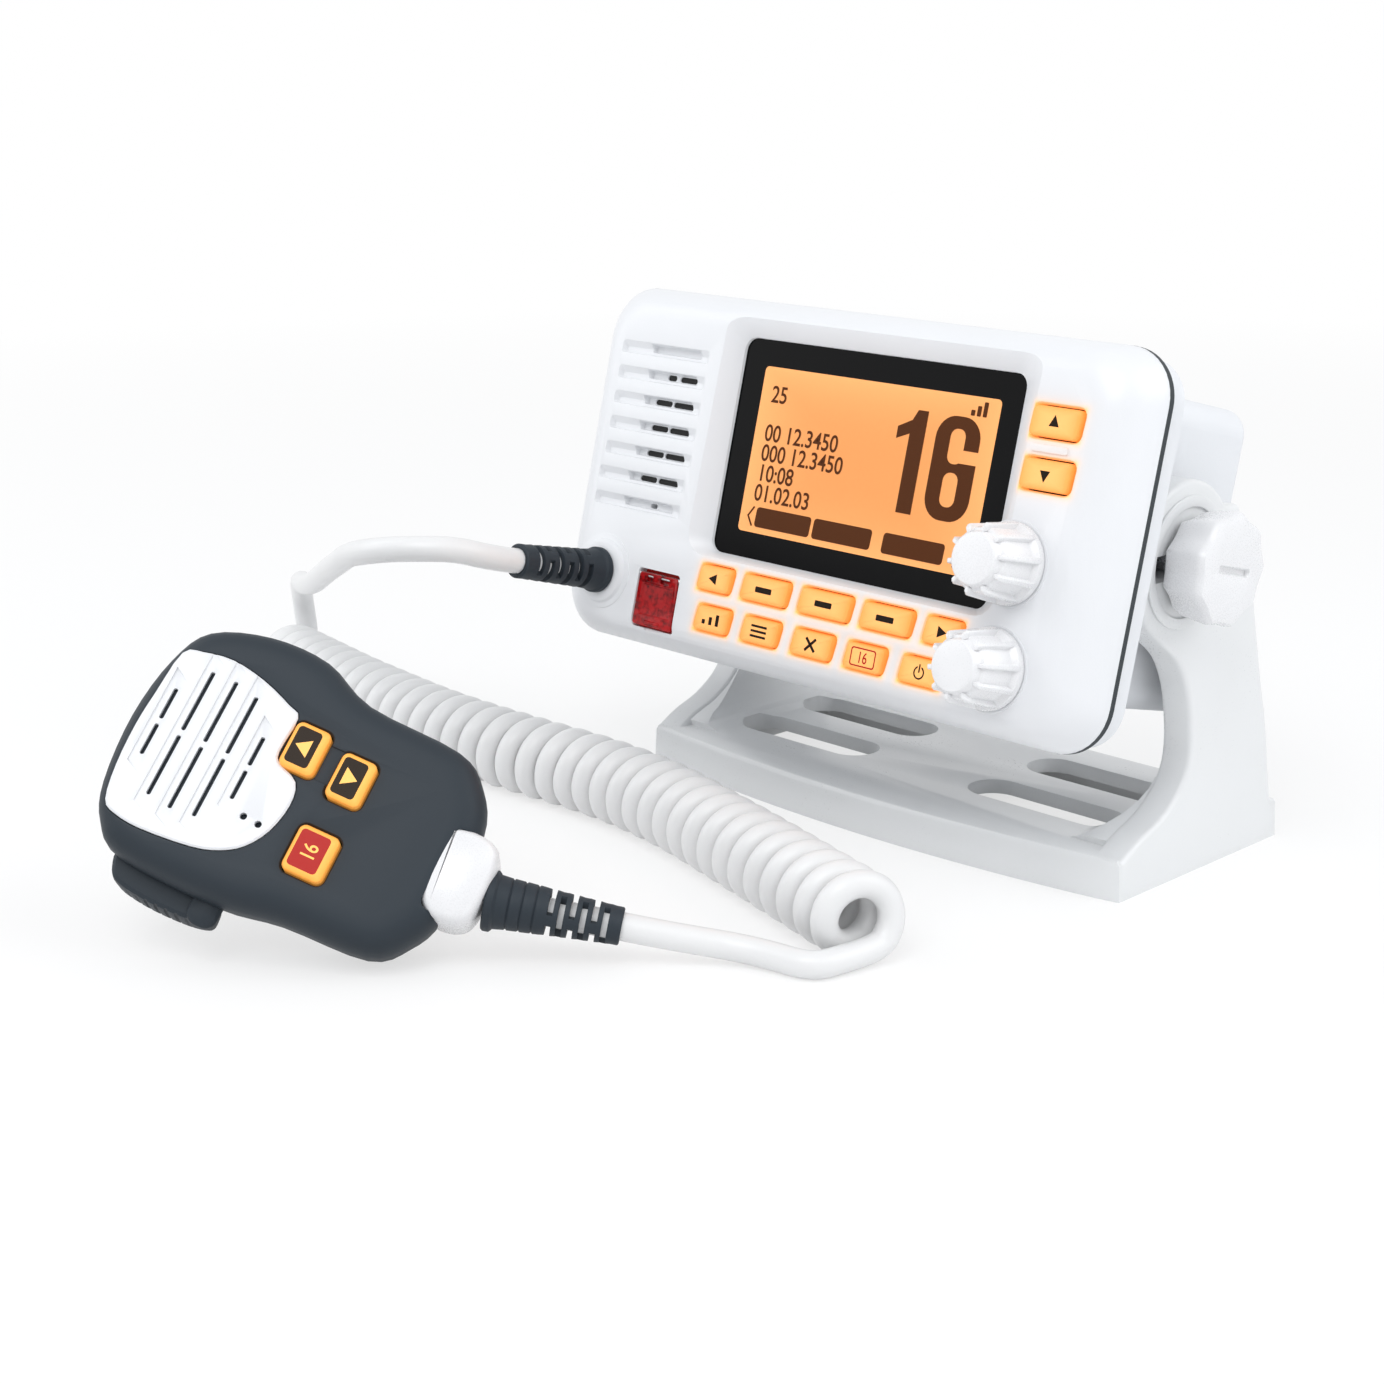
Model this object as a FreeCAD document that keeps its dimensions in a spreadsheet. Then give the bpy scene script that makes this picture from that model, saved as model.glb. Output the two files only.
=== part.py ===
import FreeCAD, Part
import math
import os
import re
import Sketcher
from FreeCAD import Placement, Rotation, Vector

# Fixed-mount marine radio on a gimbal bracket, with a hand microphone on a curly cord.
# Millimetres, +Z up, the front faces -Y. The origin lies on the mounting surface, at the
# middle of the four screw slots in the bracket's base.

os.makedirs("parts", exist_ok=True)
doc = FreeCAD.newDocument("marine_radio")
sheet = doc.addObject("Spreadsheet::Sheet", "Sizes")

SIZES = dict(
    # bracket
    base_width=165.0, base_front=36.0, base_bow=7.3, base_back=35.0, base_height=11.0, base_skin=4.0,
    arm_thick=9.0, arm_head=20.3, arm_slot=6.6, slot_length=48.0, slot_width=15.0, slot_across=84.0,
    slot_along=26.0, pivot_back=-15.3, pivot_height=83.1, tilt_angle=14.1,
    # radio casing
    panel_width=183.0, panel_shift=1.5, panel_height=96.6, panel_drop=0.7, panel_corner=13.0, bezel_front=49.3,
    bezel_depth=13.0, bezel_inset=3.7, bezel_wall=3.0, bezel_edge=5.0, gasket_thick=1.8, gasket_wide=4.0,
    flange_depth=7.0, flange_inset=1.6, case_width=137.0, case_height=80.0, case_back=40.0, case_wall=2.5,
    case_corner=7.0, case_edge=3.0, boss_reach=2.0, boss_round=9.0, fit_gap=0.3, running_gap=0.05,
    screw_head=3.0, screw_shank=1.5,
    # display
    lcd_width=90.7, lcd_height=55.7, lcd_across=13.5, lcd_up=9.0, lcd_recess=4.0, lens_thick=2.0,
    glass_width=79.0, glass_height=45.0, glass_thick=4.0, glass_up=9.0, glass_across=13.9,
    # keys
    key_height=6.6, key_proud=0.9, key_depth=5.0, key_travel=0.8, row_one=-26.2, row_two=-36.7,
    side_key_across=72.4, side_key_width=14.0, side_key_height=7.2, side_key_upper=26.9, side_key_lower=14.6,
    mat_width=94.0, mat_across=13.0, board_thick=1.6, board_gap=1.0,
    board_width=114.0, board_height=78.0, board_across=26.0,
    # rotary controls
    knob_across=67.0, knob_upper=-6.9, knob_lower=-32.0, skirt_round=10.0, skirt_thick=2.2, knob_round=8.4,
    knob_taper=1.0, knob_tall=14.5, knob_lug=1.0, lug_count=10, shaft_round=3.0, bush_round=4.5, knob_gap=0.5,
    # distress control
    cover_across=-45.4, cover_up=-35.4, cover_width=14.6, cover_height=14.8, cover_thick=1.8, cover_pin=0.7,
    button_width=8.5, button_travel=1.5,
    # louvres
    louvre_left=-74.1, louvre_width=33.5, louvre_height=4.0, louvre_top=30.4, louvre_pitch=6.9,
    louvre_sink=1.3, louvre_count=7, vent_short=6.0, vent_long=9.5, vent_high=2.0,
    # clamp knobs
    clamp_round=14.4, clamp_thick=13.0, clamp_lobes=9, clamp_scallop=5.0, clamp_cut=17.6, coin_long=14.0,
    coin_wide=2.0, coin_deep=0.8, washer_thick=0.8, washer_round=9.0, stud_round=3.0, stud_long=28.0, stud_hold=6.0,
    insert_round=5.0, insert_long=8.0, pad_round=12.0,
    # cord
    cord_round=3.35, floor_gap=0.15, coil_round=7.9, coil_pitch=7.7, gland_across=-67.0, gland_up=-30.8, gland_ring=8.6,
    gland_proud=1.6, relief_long=30.0, relief_base=6.2, relief_tip=4.6, relief_bore=3.4, relief_flange=2.0,
    # rear fittings
    sink_width=92.0, sink_height=50.0, sink_depth=8.0, fin_count=8, fin_thick=2.0, fin_deep=6.0,
    socket_across=-24.0, inlet_across=26.0, fitting_up=-31.0, socket_round=8.0, socket_long=14.0,
    inlet_round=7.0, inlet_long=10.0,
    # speaker and boards
    speaker_across=-57.0, speaker_up=9.0, speaker_round=19.0, speaker_deep=12.0, magnet_round=10.0,
    main_board_width=108.0, main_board_depth=60.0, main_board_drop=12.0,
    # microphone
    mic_length=85.3, mic_width=63.0, mic_front=9.0, mic_back=14.0, mic_wall=2.6, mic_swell=1.2,
    mic_x=-38.0, mic_y=-191.7, mic_z=35.5, mic_heading=48.46, mic_lean=56.37,
    mic_spin=26.19, plate_thick=1.6, plate_proud=0.4, mic_key_long=8.8, mic_key_wide=11.6, mic_key_proud=1.6,
    mic_key_travel=0.6, mic_speaker_round=14.0, mic_speaker_deep=5.0, mic_speaker_across=-25.0, mic_speaker_up=1.5,
    grille_pitch=5.7, grille_slot=1.4, grille_long=13.0, grille_step=1.1, screw_tall=1.6,
    ptt_long=24.0, ptt_wide=5.0, ptt_pivot=-9.5, ptt_side=34.5, ptt_lug=3.0, ptt_pin=1.0,
    collar_long=14.0, collar_sink=7.2, collar_wide=22.0, collar_thick=17.0, collar_across=-3.0, collar_lead=-1.0,
    relief_bend=13.6,
    mic_relief_long=32.0, mic_relief_base=6.4, mic_relief_tip=4.5, hanger_round=7.0, hanger_long=4.0,
)
for row, (alias, value) in enumerate(SIZES.items(), start=1):
    sheet.set("A%d" % row, alias)
    sheet.set("B%d" % row, str(value))
    sheet.setAlias("B%d" % row, alias)
doc.recompute()

WORD = re.compile(r"[a-z_]+")
AXES = {"XY": "XY_Plane", "XZ": "XZ_Plane", "YZ": "YZ_Plane"}
finished = []


def bound(text):
    """Puts the sheet's name before every size in an expression."""
    return WORD.sub(lambda hit: "Sizes." + hit.group() if hit.group() in SIZES else hit.group(), str(text))


def num(text):
    """The number that an expression on the sheet's sizes gives now."""
    found = sheet.evalExpression(bound(text))
    return float(getattr(found, "Value", found))


def bind(item, **sizes):
    for name, text in sizes.items():
        item.setExpression(name.replace("__", "."), bound(text))
    return item


def place(item, at):
    return bind(item, **{"Placement__Base__" + axis: text for axis, text in zip("xyz", at)})


# Primitives, placed by expressions.
def block(name, long, wide, tall, at):
    item = doc.addObject("Part::Box", name)
    return place(bind(item, Length=long, Width=wide, Height=tall), at)


def centred(name, long, wide, tall, at):
    """A box that stands in the middle of its place along X and Z, and reaches back from it along Y."""
    shifted = ("%s - (%s) / 2" % (at[0], long), at[1], "%s - (%s) / 2" % (at[2], tall))
    return block(name, long, wide, tall, shifted)


TURNS = {"x": Rotation(Vector(0, 1, 0), 90), "-x": Rotation(Vector(0, 1, 0), -90), "z": Rotation(),
         "y": Rotation(Vector(1, 0, 0), -90), "-y": Rotation(Vector(1, 0, 0), 90)}


def rod(name, radius, length, at, way="z"):
    item = doc.addObject("Part::Cylinder", name)
    item.Placement = Placement(Vector(), TURNS[way])
    return place(bind(item, Radius=radius, Height=length), at)


def cone(name, first, last, length, at, way="z"):
    item = doc.addObject("Part::Cone", name)
    item.Placement = Placement(Vector(), TURNS[way])
    return place(bind(item, Radius1=first, Radius2=last, Height=length), at)


def fuse(name, *items):
    item = doc.addObject("Part::MultiFuse", name)
    item.Shapes = list(items)
    return item


def cut(name, base, *tools):
    item = doc.addObject("Part::Cut", name)
    item.Base = base
    item.Tool = tools[0] if len(tools) == 1 else fuse(name + "_tools", *tools)
    return item


def group(name, *items):
    item = doc.addObject("Part::Compound", name)
    item.Links = list(items)
    return item


# Bodies with sketches.
def new_body(name):
    return doc.addObject("PartDesign::Body", name)


def sketch(body, plane, offset="0"):
    item = body.newObject("Sketcher::SketchObject", body.Name + "_sketch")
    origin = [f for f in body.Origin.OriginFeatures if f.Role == AXES[plane]][0]
    item.AttachmentSupport = [(origin, "")]
    item.MapMode = "FlatFace"
    item.setExpression("AttachmentOffset.Base.z", bound(offset))
    return item


def tie(item, kind, geo, pos, text):
    """A signed distance from the sketch's origin to a point, bound to the sheet."""
    index = item.addConstraint(Sketcher.Constraint(kind, -1, 1, geo, pos, num(text)))
    name = "tie%d" % index
    item.renameConstraint(index, name)
    item.setExpression("Constraints." + name, bound(text))


def polygon(item, corners):
    """A closed outline of straight lines through corners given as pairs of expressions."""
    points = [Vector(num(x), num(y), 0) for x, y in corners]
    first = item.GeometryCount
    count = len(points)
    for i in range(count):
        item.addGeometry(Part.LineSegment(points[i], points[(i + 1) % count]), False)
    for i in range(count):
        item.addConstraint(Sketcher.Constraint("Coincident", first + i, 2, first + (i + 1) % count, 1))
    for i, (x, y) in enumerate(corners):
        tie(item, "DistanceX", first + i, 1, x)
        tie(item, "DistanceY", first + i, 1, y)


def oblong(item, x, y, wide, tall):
    """A rectangle round the point x, y."""
    west, east = "(%s) - (%s) / 2" % (x, wide), "(%s) + (%s) / 2" % (x, wide)
    south, north = "(%s) - (%s) / 2" % (y, tall), "(%s) + (%s) / 2" % (y, tall)
    polygon(item, [(west, south), (east, south), (east, north), (west, north)])


def circle(item, x, y, radius):
    geo = item.addGeometry(Part.Circle(Vector(num(x), num(y), 0), Vector(0, 0, 1), num(radius)), False)
    tie(item, "DistanceX", geo, 3, x)
    tie(item, "DistanceY", geo, 3, y)
    index = item.addConstraint(Sketcher.Constraint("Radius", geo, num(radius)))
    item.renameConstraint(index, "round%d" % index)
    item.setExpression("Constraints.round%d" % index, bound(radius))


def pad(body, profile, length, reverse=False, draft=None):
    item = body.newObject("PartDesign::Pad", body.Name + "_pad")
    item.Profile = profile
    item.Reversed = reverse
    bind(item, Length=length)
    if draft:
        bind(item, TaperAngle=draft)
    doc.recompute()
    return item


def pocket(body, profile, depth, reverse=False):
    before = body.Shape.Volume
    item = body.newObject("PartDesign::Pocket", body.Name + "_pocket")
    item.Profile = profile
    item.Reversed = reverse
    bind(item, Length=depth)
    doc.recompute()
    if body.Shape.Volume > before - 1e-6:
        raise RuntimeError("a pocket of %s cuts nothing" % body.Name)
    return item


def soften(body, radius, chosen, kind="Fillet"):
    """Rounds the edges of the body's last feature for which chosen(edge) is true."""
    base = body.Tip
    names = ["Edge%d" % (i + 1) for i, edge in enumerate(base.Shape.Edges) if chosen(edge)]
    item = body.newObject("PartDesign::" + kind, body.Name + "_" + kind.lower())
    item.Base = (base, names)
    bind(item, **{"Radius" if kind == "Fillet" else "Size": radius})
    doc.recompute()
    return item


def along(edge, axis, least=0.9):
    start, end = edge.Vertexes[0].Point, edge.Vertexes[-1].Point
    if start.distanceToPoint(end) < 1e-6:
        return False
    return abs((end - start).normalize().dot(axis)) > least


def finish(name, item, frame=None):
    """Labels a finished sub-part and puts it in its frame."""
    item.Label = name
    if frame is not None:
        item.Placement = frame
    finished.append((name, item))
    return item


X, Y, Z = Vector(1, 0, 0), Vector(0, 1, 0), Vector(0, 0, 1)
RADIO = Placement(Vector(0, num("pivot_back"), num("pivot_height")), Rotation(X, -num("tilt_angle")))
MIC_TURN = Rotation(Z, num("mic_heading")) * Rotation(X, num("mic_lean")) * Rotation(Z, -num("mic_spin"))
MIC = Placement(Vector(num("mic_x"), num("mic_y"), num("mic_z")), MIC_TURN)


# The bracket: a bowed base, hollow below, with four screw slots and two arms that end in round
# heads, each open to the front for the clamp knob's stud.
bracket = new_body("bracket")
outline = sketch(bracket, "XY")
polygon(outline, [("-base_width / 2", "-base_front"), ("-base_width / 5", "-base_front - base_bow"),
                  ("base_width / 5", "-base_front - base_bow"), ("base_width / 2", "-base_front"),
                  ("base_width / 2", "base_back"), ("-base_width / 2", "base_back")])
pad(bracket, outline, "base_height")
ARM = [("-base_front", "base_height - 2"), ("-28", "base_height + 3"), ("-20", "base_height + 5.5"),
       ("-12", "base_height + 11"), ("-8.2", "base_height + 19"), ("-8", "base_height + 27"),
       ("pivot_back + 3", "pivot_height - arm_head - 4"), ("pivot_back - arm_head * 0.6", "pivot_height - arm_head * 0.8"),
       ("pivot_back", "pivot_height"), ("pivot_back + arm_head * 0.87", "pivot_height + arm_head * 0.5"),
       ("16.5", "base_height + 57"), ("24.4", "base_height + 34"), ("30.9", "base_height + 6"),
       ("base_back", "base_height - 2")]
for side, start in (("left", "-base_width / 2"), ("right", "base_width / 2 - arm_thick")):
    profile = sketch(bracket, "YZ", start)
    polygon(profile, ARM)
    pad(bracket, profile, "arm_thick")
    head = sketch(bracket, "YZ", start)
    circle(head, "pivot_back", "pivot_height", "arm_head")
    pad(bracket, head, "arm_thick")
for start in ("-base_width / 2", "base_width / 2 - arm_thick"):
    bore = sketch(bracket, "YZ", start)
    circle(bore, "pivot_back", "pivot_height", "arm_slot / 2")
    pocket(bracket, bore, "arm_thick", reverse=True)
    mouth = sketch(bracket, "YZ", start)
    oblong(mouth, "pivot_back - arm_head / 2 - 1", "pivot_height", "arm_head + 2", "arm_slot")
    pocket(bracket, mouth, "arm_thick", reverse=True)
hollow = sketch(bracket, "XY")
oblong(hollow, "0", "0", "base_width - arm_thick * 2", "base_front + base_back - base_skin * 3")
pocket(bracket, hollow, "base_height - base_skin", reverse=True)
for across in ("-slot_across / 2", "slot_across / 2"):
    for way in ("-slot_along / 2", "slot_along / 2"):
        slot = sketch(bracket, "XY")
        oblong(slot, across, way, "slot_length", "slot_width")
        pocket(bracket, slot, "base_height", reverse=True)
        soften(bracket, "slot_width / 2 - 0.1", lambda e, a=num(across), w=num(way): along(e, Z)
               and abs(abs(e.Vertexes[0].Point.x - a) - num("slot_length / 2")) < 0.01
               and abs(abs(e.Vertexes[0].Point.y - w) - num("slot_width / 2")) < 0.01)
finish("bracket", bracket)

# Friction pads on the inner faces of the arms' heads, a running gap short of the casing's bosses.
PAD_THICK = "base_width / 2 - arm_thick - case_width / 2 - boss_reach - fit_gap"
pads = []
for side in (-1, 1):
    at = ("%d * (case_width / 2 + boss_reach + fit_gap)" % side, "pivot_back", "pivot_height")
    way = "x" if side > 0 else "-x"
    disc = rod("pad_disc", "pad_round", PAD_THICK, at, way)
    eye = rod("pad_eye", "stud_round + fit_gap", PAD_THICK, at, way)
    pads.append(cut("pad", disc, eye))
finish("pivot_pads", group("pivot_pads", *pads))


# The front bezel: a drafted tray, open at the back, with openings for everything on the panel.
GASKET_PLANE = "bezel_front - bezel_depth"
KEYS = [
    ("key_left", -24.8, "row_one", 11.6), ("key_soft_one", -7.0, "row_one", 16.0),
    ("key_soft_two", 13.5, "row_one", 17.0), ("key_soft_three", 33.7, "row_one", 16.0),
    ("key_right", 51.3, "row_one", 11.0), ("key_output", -23.4, "row_two", 12.0),
    ("key_menu", -6.2, "row_two", 12.6), ("key_clear", 11.7, "row_two", 13.3),
    ("key_calling", 29.1, "row_two", 12.4), ("key_power", 47.0, "row_two", 12.6),
]
KEY_PLACES = [(name, str(x), row, str(wide), "key_height") for name, x, row, wide in KEYS]
KEY_PLACES += [("key_up", "side_key_across", "side_key_upper", "side_key_width", "side_key_height"),
               ("key_down", "side_key_across", "side_key_lower", "side_key_width", "side_key_height")]
KNOBS = [("channel", "knob_upper"), ("volume", "knob_lower")]


def tray_corners(body, radius, west, east):
    """Rounds the four corner edges that run from front to back."""
    return soften(body, radius, lambda e: along(e, Y, 0.85) and west < e.CenterOfMass.x < east)


bezel = new_body("front_bezel")
rim = sketch(bezel, "XZ", GASKET_PLANE)
oblong(rim, "panel_shift", "-panel_drop", "panel_width", "panel_height")
pad(bezel, rim, "bezel_depth", draft="-atan(bezel_inset / bezel_depth)")
tray_corners(bezel, "panel_corner", -200, 200)
face_y = -num("bezel_front")
soften(bezel, "bezel_edge", lambda e: all(abs(v.Point.y - face_y) < 0.01 for v in e.Vertexes))
inside = sketch(bezel, "XZ", GASKET_PLANE)
oblong(inside, "panel_shift", "-panel_drop", "panel_width - 2 * (bezel_inset + bezel_wall)",
       "panel_height - 2 * (bezel_inset + bezel_wall)")
pocket(bezel, inside, "bezel_depth - bezel_wall", reverse=True)
ring = sketch(bezel, "XZ", "bezel_front - bezel_wall")
circle(ring, "gland_across", "gland_up", "gland_ring")
pad(bezel, ring, "bezel_wall + gland_proud")
openings = sketch(bezel, "XZ", "bezel_front")
oblong(openings, "lcd_across", "lcd_up", "lcd_width", "lcd_height")
for name, x, z, wide, tall in KEY_PLACES:
    oblong(openings, x, z, wide + " + 2 * fit_gap", tall + " + 2 * fit_gap")
for name, z in KNOBS:
    circle(openings, "knob_across", z, "bush_round")
oblong(openings, "cover_across", "cover_up", "button_width + 2 * fit_gap", "button_width + 2 * fit_gap")
pocket(bezel, openings, "bezel_wall")
gland_hole = sketch(bezel, "XZ", "bezel_front + gland_proud")
circle(gland_hole, "gland_across", "gland_up", "relief_bore")
pocket(bezel, gland_hole, "bezel_wall + gland_proud")
lid_seat = sketch(bezel, "XZ", "bezel_front")
oblong(lid_seat, "cover_across", "cover_up", "cover_width + 2 * fit_gap", "cover_height + 2 * fit_gap")
pocket(bezel, lid_seat, "cover_thick + fit_gap")
louvres = sketch(bezel, "XZ", "bezel_front")
vents = sketch(bezel, "XZ", "bezel_front - louvre_sink")
for i in range(int(num("louvre_count"))):
    z = "louvre_top - %d * louvre_pitch" % i
    oblong(louvres, "louvre_left + louvre_width / 2", z, "louvre_width", "louvre_height")
    if 0 < i < num("louvre_count") - 1:
        oblong(vents, "louvre_left + louvre_width - vent_long / 2 - 3", z, "vent_long", "vent_high")
        oblong(vents, "louvre_left + louvre_width - vent_long - 5 - vent_short / 2", z, "vent_short", "vent_high")
pocket(bezel, louvres, "louvre_sink")
pocket(bezel, vents, "bezel_wall - louvre_sink")
finish("front_bezel", bezel, RADIO)

# The dark seal between the bezel and the rear casting.
seal = new_body("bezel_gasket")
ring = sketch(seal, "XZ", GASKET_PLANE)
oblong(ring, "panel_shift", "-panel_drop", "panel_width", "panel_height")
pad(seal, ring, "gasket_thick", reverse=True)
tray_corners(seal, "panel_corner", -200, 200)
hole = sketch(seal, "XZ", GASKET_PLANE)
oblong(hole, "panel_shift", "-panel_drop", "panel_width - 2 * (gasket_wide + bezel_inset)",
       "panel_height - 2 * (gasket_wide + bezel_inset)")
pocket(seal, hole, "gasket_thick")
finish("bezel_gasket", seal, RADIO)

# The rear casting: a flange behind the seal and a deep box with pivot bosses on its sides.
FLANGE_PLANE = GASKET_PLANE + " - gasket_thick"
case = new_body("rear_case")
plate = sketch(case, "XZ", FLANGE_PLANE)
oblong(plate, "panel_shift", "-panel_drop", "panel_width - 2 * flange_inset", "panel_height - 2 * flange_inset")
pad(case, plate, "flange_depth", reverse=True)
tray_corners(case, "panel_corner - flange_inset", -200, 200)
box = sketch(case, "XZ", FLANGE_PLANE)
oblong(box, "0", "0", "case_width", "case_height")
pad(case, box, FLANGE_PLANE + " + case_back", reverse=True)
tray_corners(case, "case_corner", -num("case_width") / 2 - 1, num("case_width") / 2 + 1)
back_y = num("case_back")
soften(case, "case_edge", lambda e: all(abs(v.Point.y - back_y) < 0.01 for v in e.Vertexes))
shell = sketch(case, "XZ", FLANGE_PLANE)
oblong(shell, "panel_shift", "-panel_drop", "panel_width - 2 * (flange_inset + gasket_wide + bezel_inset)",
       "panel_height - 2 * (flange_inset + gasket_wide + bezel_inset)")
pocket(case, shell, "flange_depth - case_wall")
cavity = sketch(case, "XZ", FLANGE_PLANE)
oblong(cavity, "0", "0", "case_width - 2 * case_wall", "case_height - 2 * case_wall")
pocket(case, cavity, FLANGE_PLANE + " + case_back - case_wall")
BOSS_LONG = "case_wall + insert_long + boss_reach"
for start in ("case_width / 2 - case_wall - insert_long", "-case_width / 2 - boss_reach"):
    boss = sketch(case, "YZ", start)
    circle(boss, "0", "0", "boss_round")
    pad(case, boss, BOSS_LONG)
    bore = sketch(case, "YZ", start)
    circle(bore, "0", "0", "insert_round")
    pocket(case, bore, BOSS_LONG, reverse=True)
finish("rear_case", case, RADIO)

inserts = []
for side in (-1, 1):
    way = "x" if side > 0 else "-x"
    at = ("%d * (case_width / 2 - case_wall - insert_long)" % side, "0", "0")
    inserts.append(cut("insert", rod("insert_body", "insert_round", BOSS_LONG, at, way),
                       rod("insert_bore", "stud_round + running_gap", BOSS_LONG, at, way)))
finish("side_inserts", group("side_inserts", *inserts), RADIO)

# Behind the panel: lens, display, key mat, front board, speaker and the controls' bushings.
WALL_BACK = "-bezel_front + bezel_wall"
lens = centred("lens", "lcd_width + 4", "lens_thick", "lcd_height + 4", ("lcd_across", WALL_BACK, "lcd_up"))
finish("display_lens", lens, None)
glass = centred("glass", "glass_width", "glass_thick", "glass_height",
                ("glass_across", WALL_BACK + " + lens_thick", "glass_up"))
finish("display_module", glass, None)
BOARD_Y = WALL_BACK + " + lens_thick + glass_thick + board_gap"
MAT_Y = "-bezel_front - key_proud + key_depth + key_travel"
MAT_THICK = "(%s) - (%s)" % (BOARD_Y, MAT_Y)
mats = [centred("mat_low", "mat_width", MAT_THICK, "key_height * 3", ("mat_across", MAT_Y, "(row_one + row_two) / 2")),
        centred("mat_side", "side_key_width + 3", MAT_THICK, "side_key_upper - side_key_lower + side_key_height + 4",
                ("side_key_across", MAT_Y, "(side_key_upper + side_key_lower) / 2"))]
finish("key_mat", group("key_mat", *mats), RADIO)
board = centred("board", "board_width", "board_thick", "board_height", ("board_across", BOARD_Y, "-panel_drop"))
finish("front_board", board, None)
main = centred("main", "main_board_width", "main_board_depth", "board_thick",
               ("0", "case_back - case_wall - main_board_depth", "-main_board_drop"))
finish("main_board", main, None)
SPEAKER_AT = ("speaker_across", WALL_BACK, "speaker_up")
horn = fuse("speaker", cone("speaker_basket", "speaker_round", "magnet_round + 3", "speaker_deep * 0.6", SPEAKER_AT, "y"),
            rod("speaker_magnet", "magnet_round", "speaker_deep", SPEAKER_AT, "y"))
finish("front_speaker", horn, RADIO)

for name, z in KNOBS:
    at = ("knob_across", WALL_BACK, z)
    can = centred(name + "_can", "12", "lens_thick + glass_thick + board_gap", "12", at)
    bush = rod(name + "_bush", "bush_round", "bezel_wall + knob_gap - fit_gap", at, "-y")
    bore = rod(name + "_bore", "shaft_round + running_gap", "bezel_wall + knob_gap + 5",
               ("knob_across", WALL_BACK + " + 4", z), "-y")
    finish(name + "_encoder", cut(name + "_encoder", fuse(name + "_body", can, bush), bore), RADIO)
    front = "-bezel_front - knob_gap"
    skirt = rod(name + "_skirt", "skirt_round", "skirt_thick", ("knob_across", front, z), "-y")
    grip = cone(name + "_grip", "knob_round", "knob_round - knob_taper", "knob_tall", ("knob_across", front, z), "-y")
    stem = rod(name + "_stem", "shaft_round", "bezel_wall + knob_gap + 3",
               ("knob_across", WALL_BACK + " + 3", z), "-y")
    lugs = []
    for i in range(int(num("lug_count"))):
        turn = 2 * math.pi * i / num("lug_count")
        spot = ("knob_across + (knob_round - 0.2) * %.6f" % math.cos(turn), front,
                "%s + (knob_round - 0.2) * %.6f" % (z, math.sin(turn)))
        lugs.append(rod("%s_lug%d" % (name, i), "knob_lug", "knob_tall - 2", spot, "-y"))
    finish(name + "_knob", fuse(name + "_knob", skirt, grip, stem, *lugs), RADIO)

for name, x, z, wide, tall in KEY_PLACES:
    key = new_body(name)
    profile = sketch(key, "XZ", "bezel_front + key_proud - key_depth")
    oblong(profile, x, z, wide, tall)
    pad(key, profile, "key_depth")
    tip_y = -num("bezel_front + key_proud")
    soften(key, "0.8", lambda e, y=tip_y: all(abs(v.Point.y - y) < 0.01 for v in e.Vertexes))
    finish(name, key, RADIO)

# The distress control: a lid on a pin over a square button.
PIN_Z = "cover_up + cover_height / 2 - cover_thick / 2 - 0.2"
PIN_Y = "-bezel_front + cover_thick / 2"
pin = rod("pin", "cover_pin", "cover_width + 2 * fit_gap", ("cover_across - cover_width / 2 - fit_gap", PIN_Y, PIN_Z), "x")
finish("distress_pin", fuse("distress_pin", pin, rod("pin_core", "cover_pin / 2", "cover_width + 2 * fit_gap",
       ("cover_across - cover_width / 2 - fit_gap", PIN_Y, PIN_Z), "x")), RADIO)
flap = centred("flap", "cover_width", "cover_thick", "cover_height - cover_thick / 2 - 0.2",
               ("cover_across", "-bezel_front", "cover_up - cover_thick / 4 - 0.1"))
barrel = rod("barrel", "cover_thick / 2", "cover_width", ("cover_across - cover_width / 2", PIN_Y, PIN_Z), "x")
eye = rod("barrel_eye", "cover_pin + running_gap", "cover_width + 2",
          ("cover_across - cover_width / 2 - 1", PIN_Y, PIN_Z), "x")
finish("distress_cover", cut("distress_cover", fuse("cover_solid", flap, barrel), eye), RADIO)
button = centred("button", "button_width", "bezel_wall + 1", "button_width",
                 ("cover_across", "-bezel_front + cover_thick + fit_gap * 2", "cover_up"))
finish("distress_button", button, None)

# Behind the box: heat sink, aerial socket and supply inlet.
REAR = "case_back"
sink_parts = [centred("sink_plate", "sink_width", "sink_depth - fin_deep", "sink_height", ("0", REAR, "9"))]
for i in range(int(num("fin_count"))):
    x = "-sink_width / 2 + fin_thick / 2 + %d * (sink_width - fin_thick) / (fin_count - 1)" % i
    sink_parts.append(centred("fin%d" % i, "fin_thick", "sink_depth", "sink_height", (x, REAR, "9")))
finish("heat_sink", fuse("heat_sink", *sink_parts), RADIO)
socket_at = ("socket_across", REAR, "fitting_up + 4")
socket = cut("socket", fuse("socket_solid", rod("socket_flange", "socket_round + 2", "2", socket_at, "y"),
                            rod("socket_barrel", "socket_round", "socket_long", socket_at, "y")),
             rod("socket_bore", "socket_round - 2.5", "socket_long - 3",
                 ("socket_across", REAR + " + 3", "fitting_up + 4"), "y"))
finish("antenna_socket", socket, RADIO)
inlet_at = ("inlet_across", REAR, "fitting_up + 4")
inlet = cut("inlet", fuse("inlet_solid", rod("inlet_flange", "inlet_round + 2", "2", inlet_at, "y"),
                          cone("inlet_cone", "inlet_round", "inlet_round - 2", "inlet_long", inlet_at, "y")),
            rod("inlet_bore", "inlet_round - 4", "inlet_long - 2",
                ("inlet_across", REAR + " + 2", "fitting_up + 4"), "y"))
finish("power_inlet", inlet, RADIO)

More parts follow.
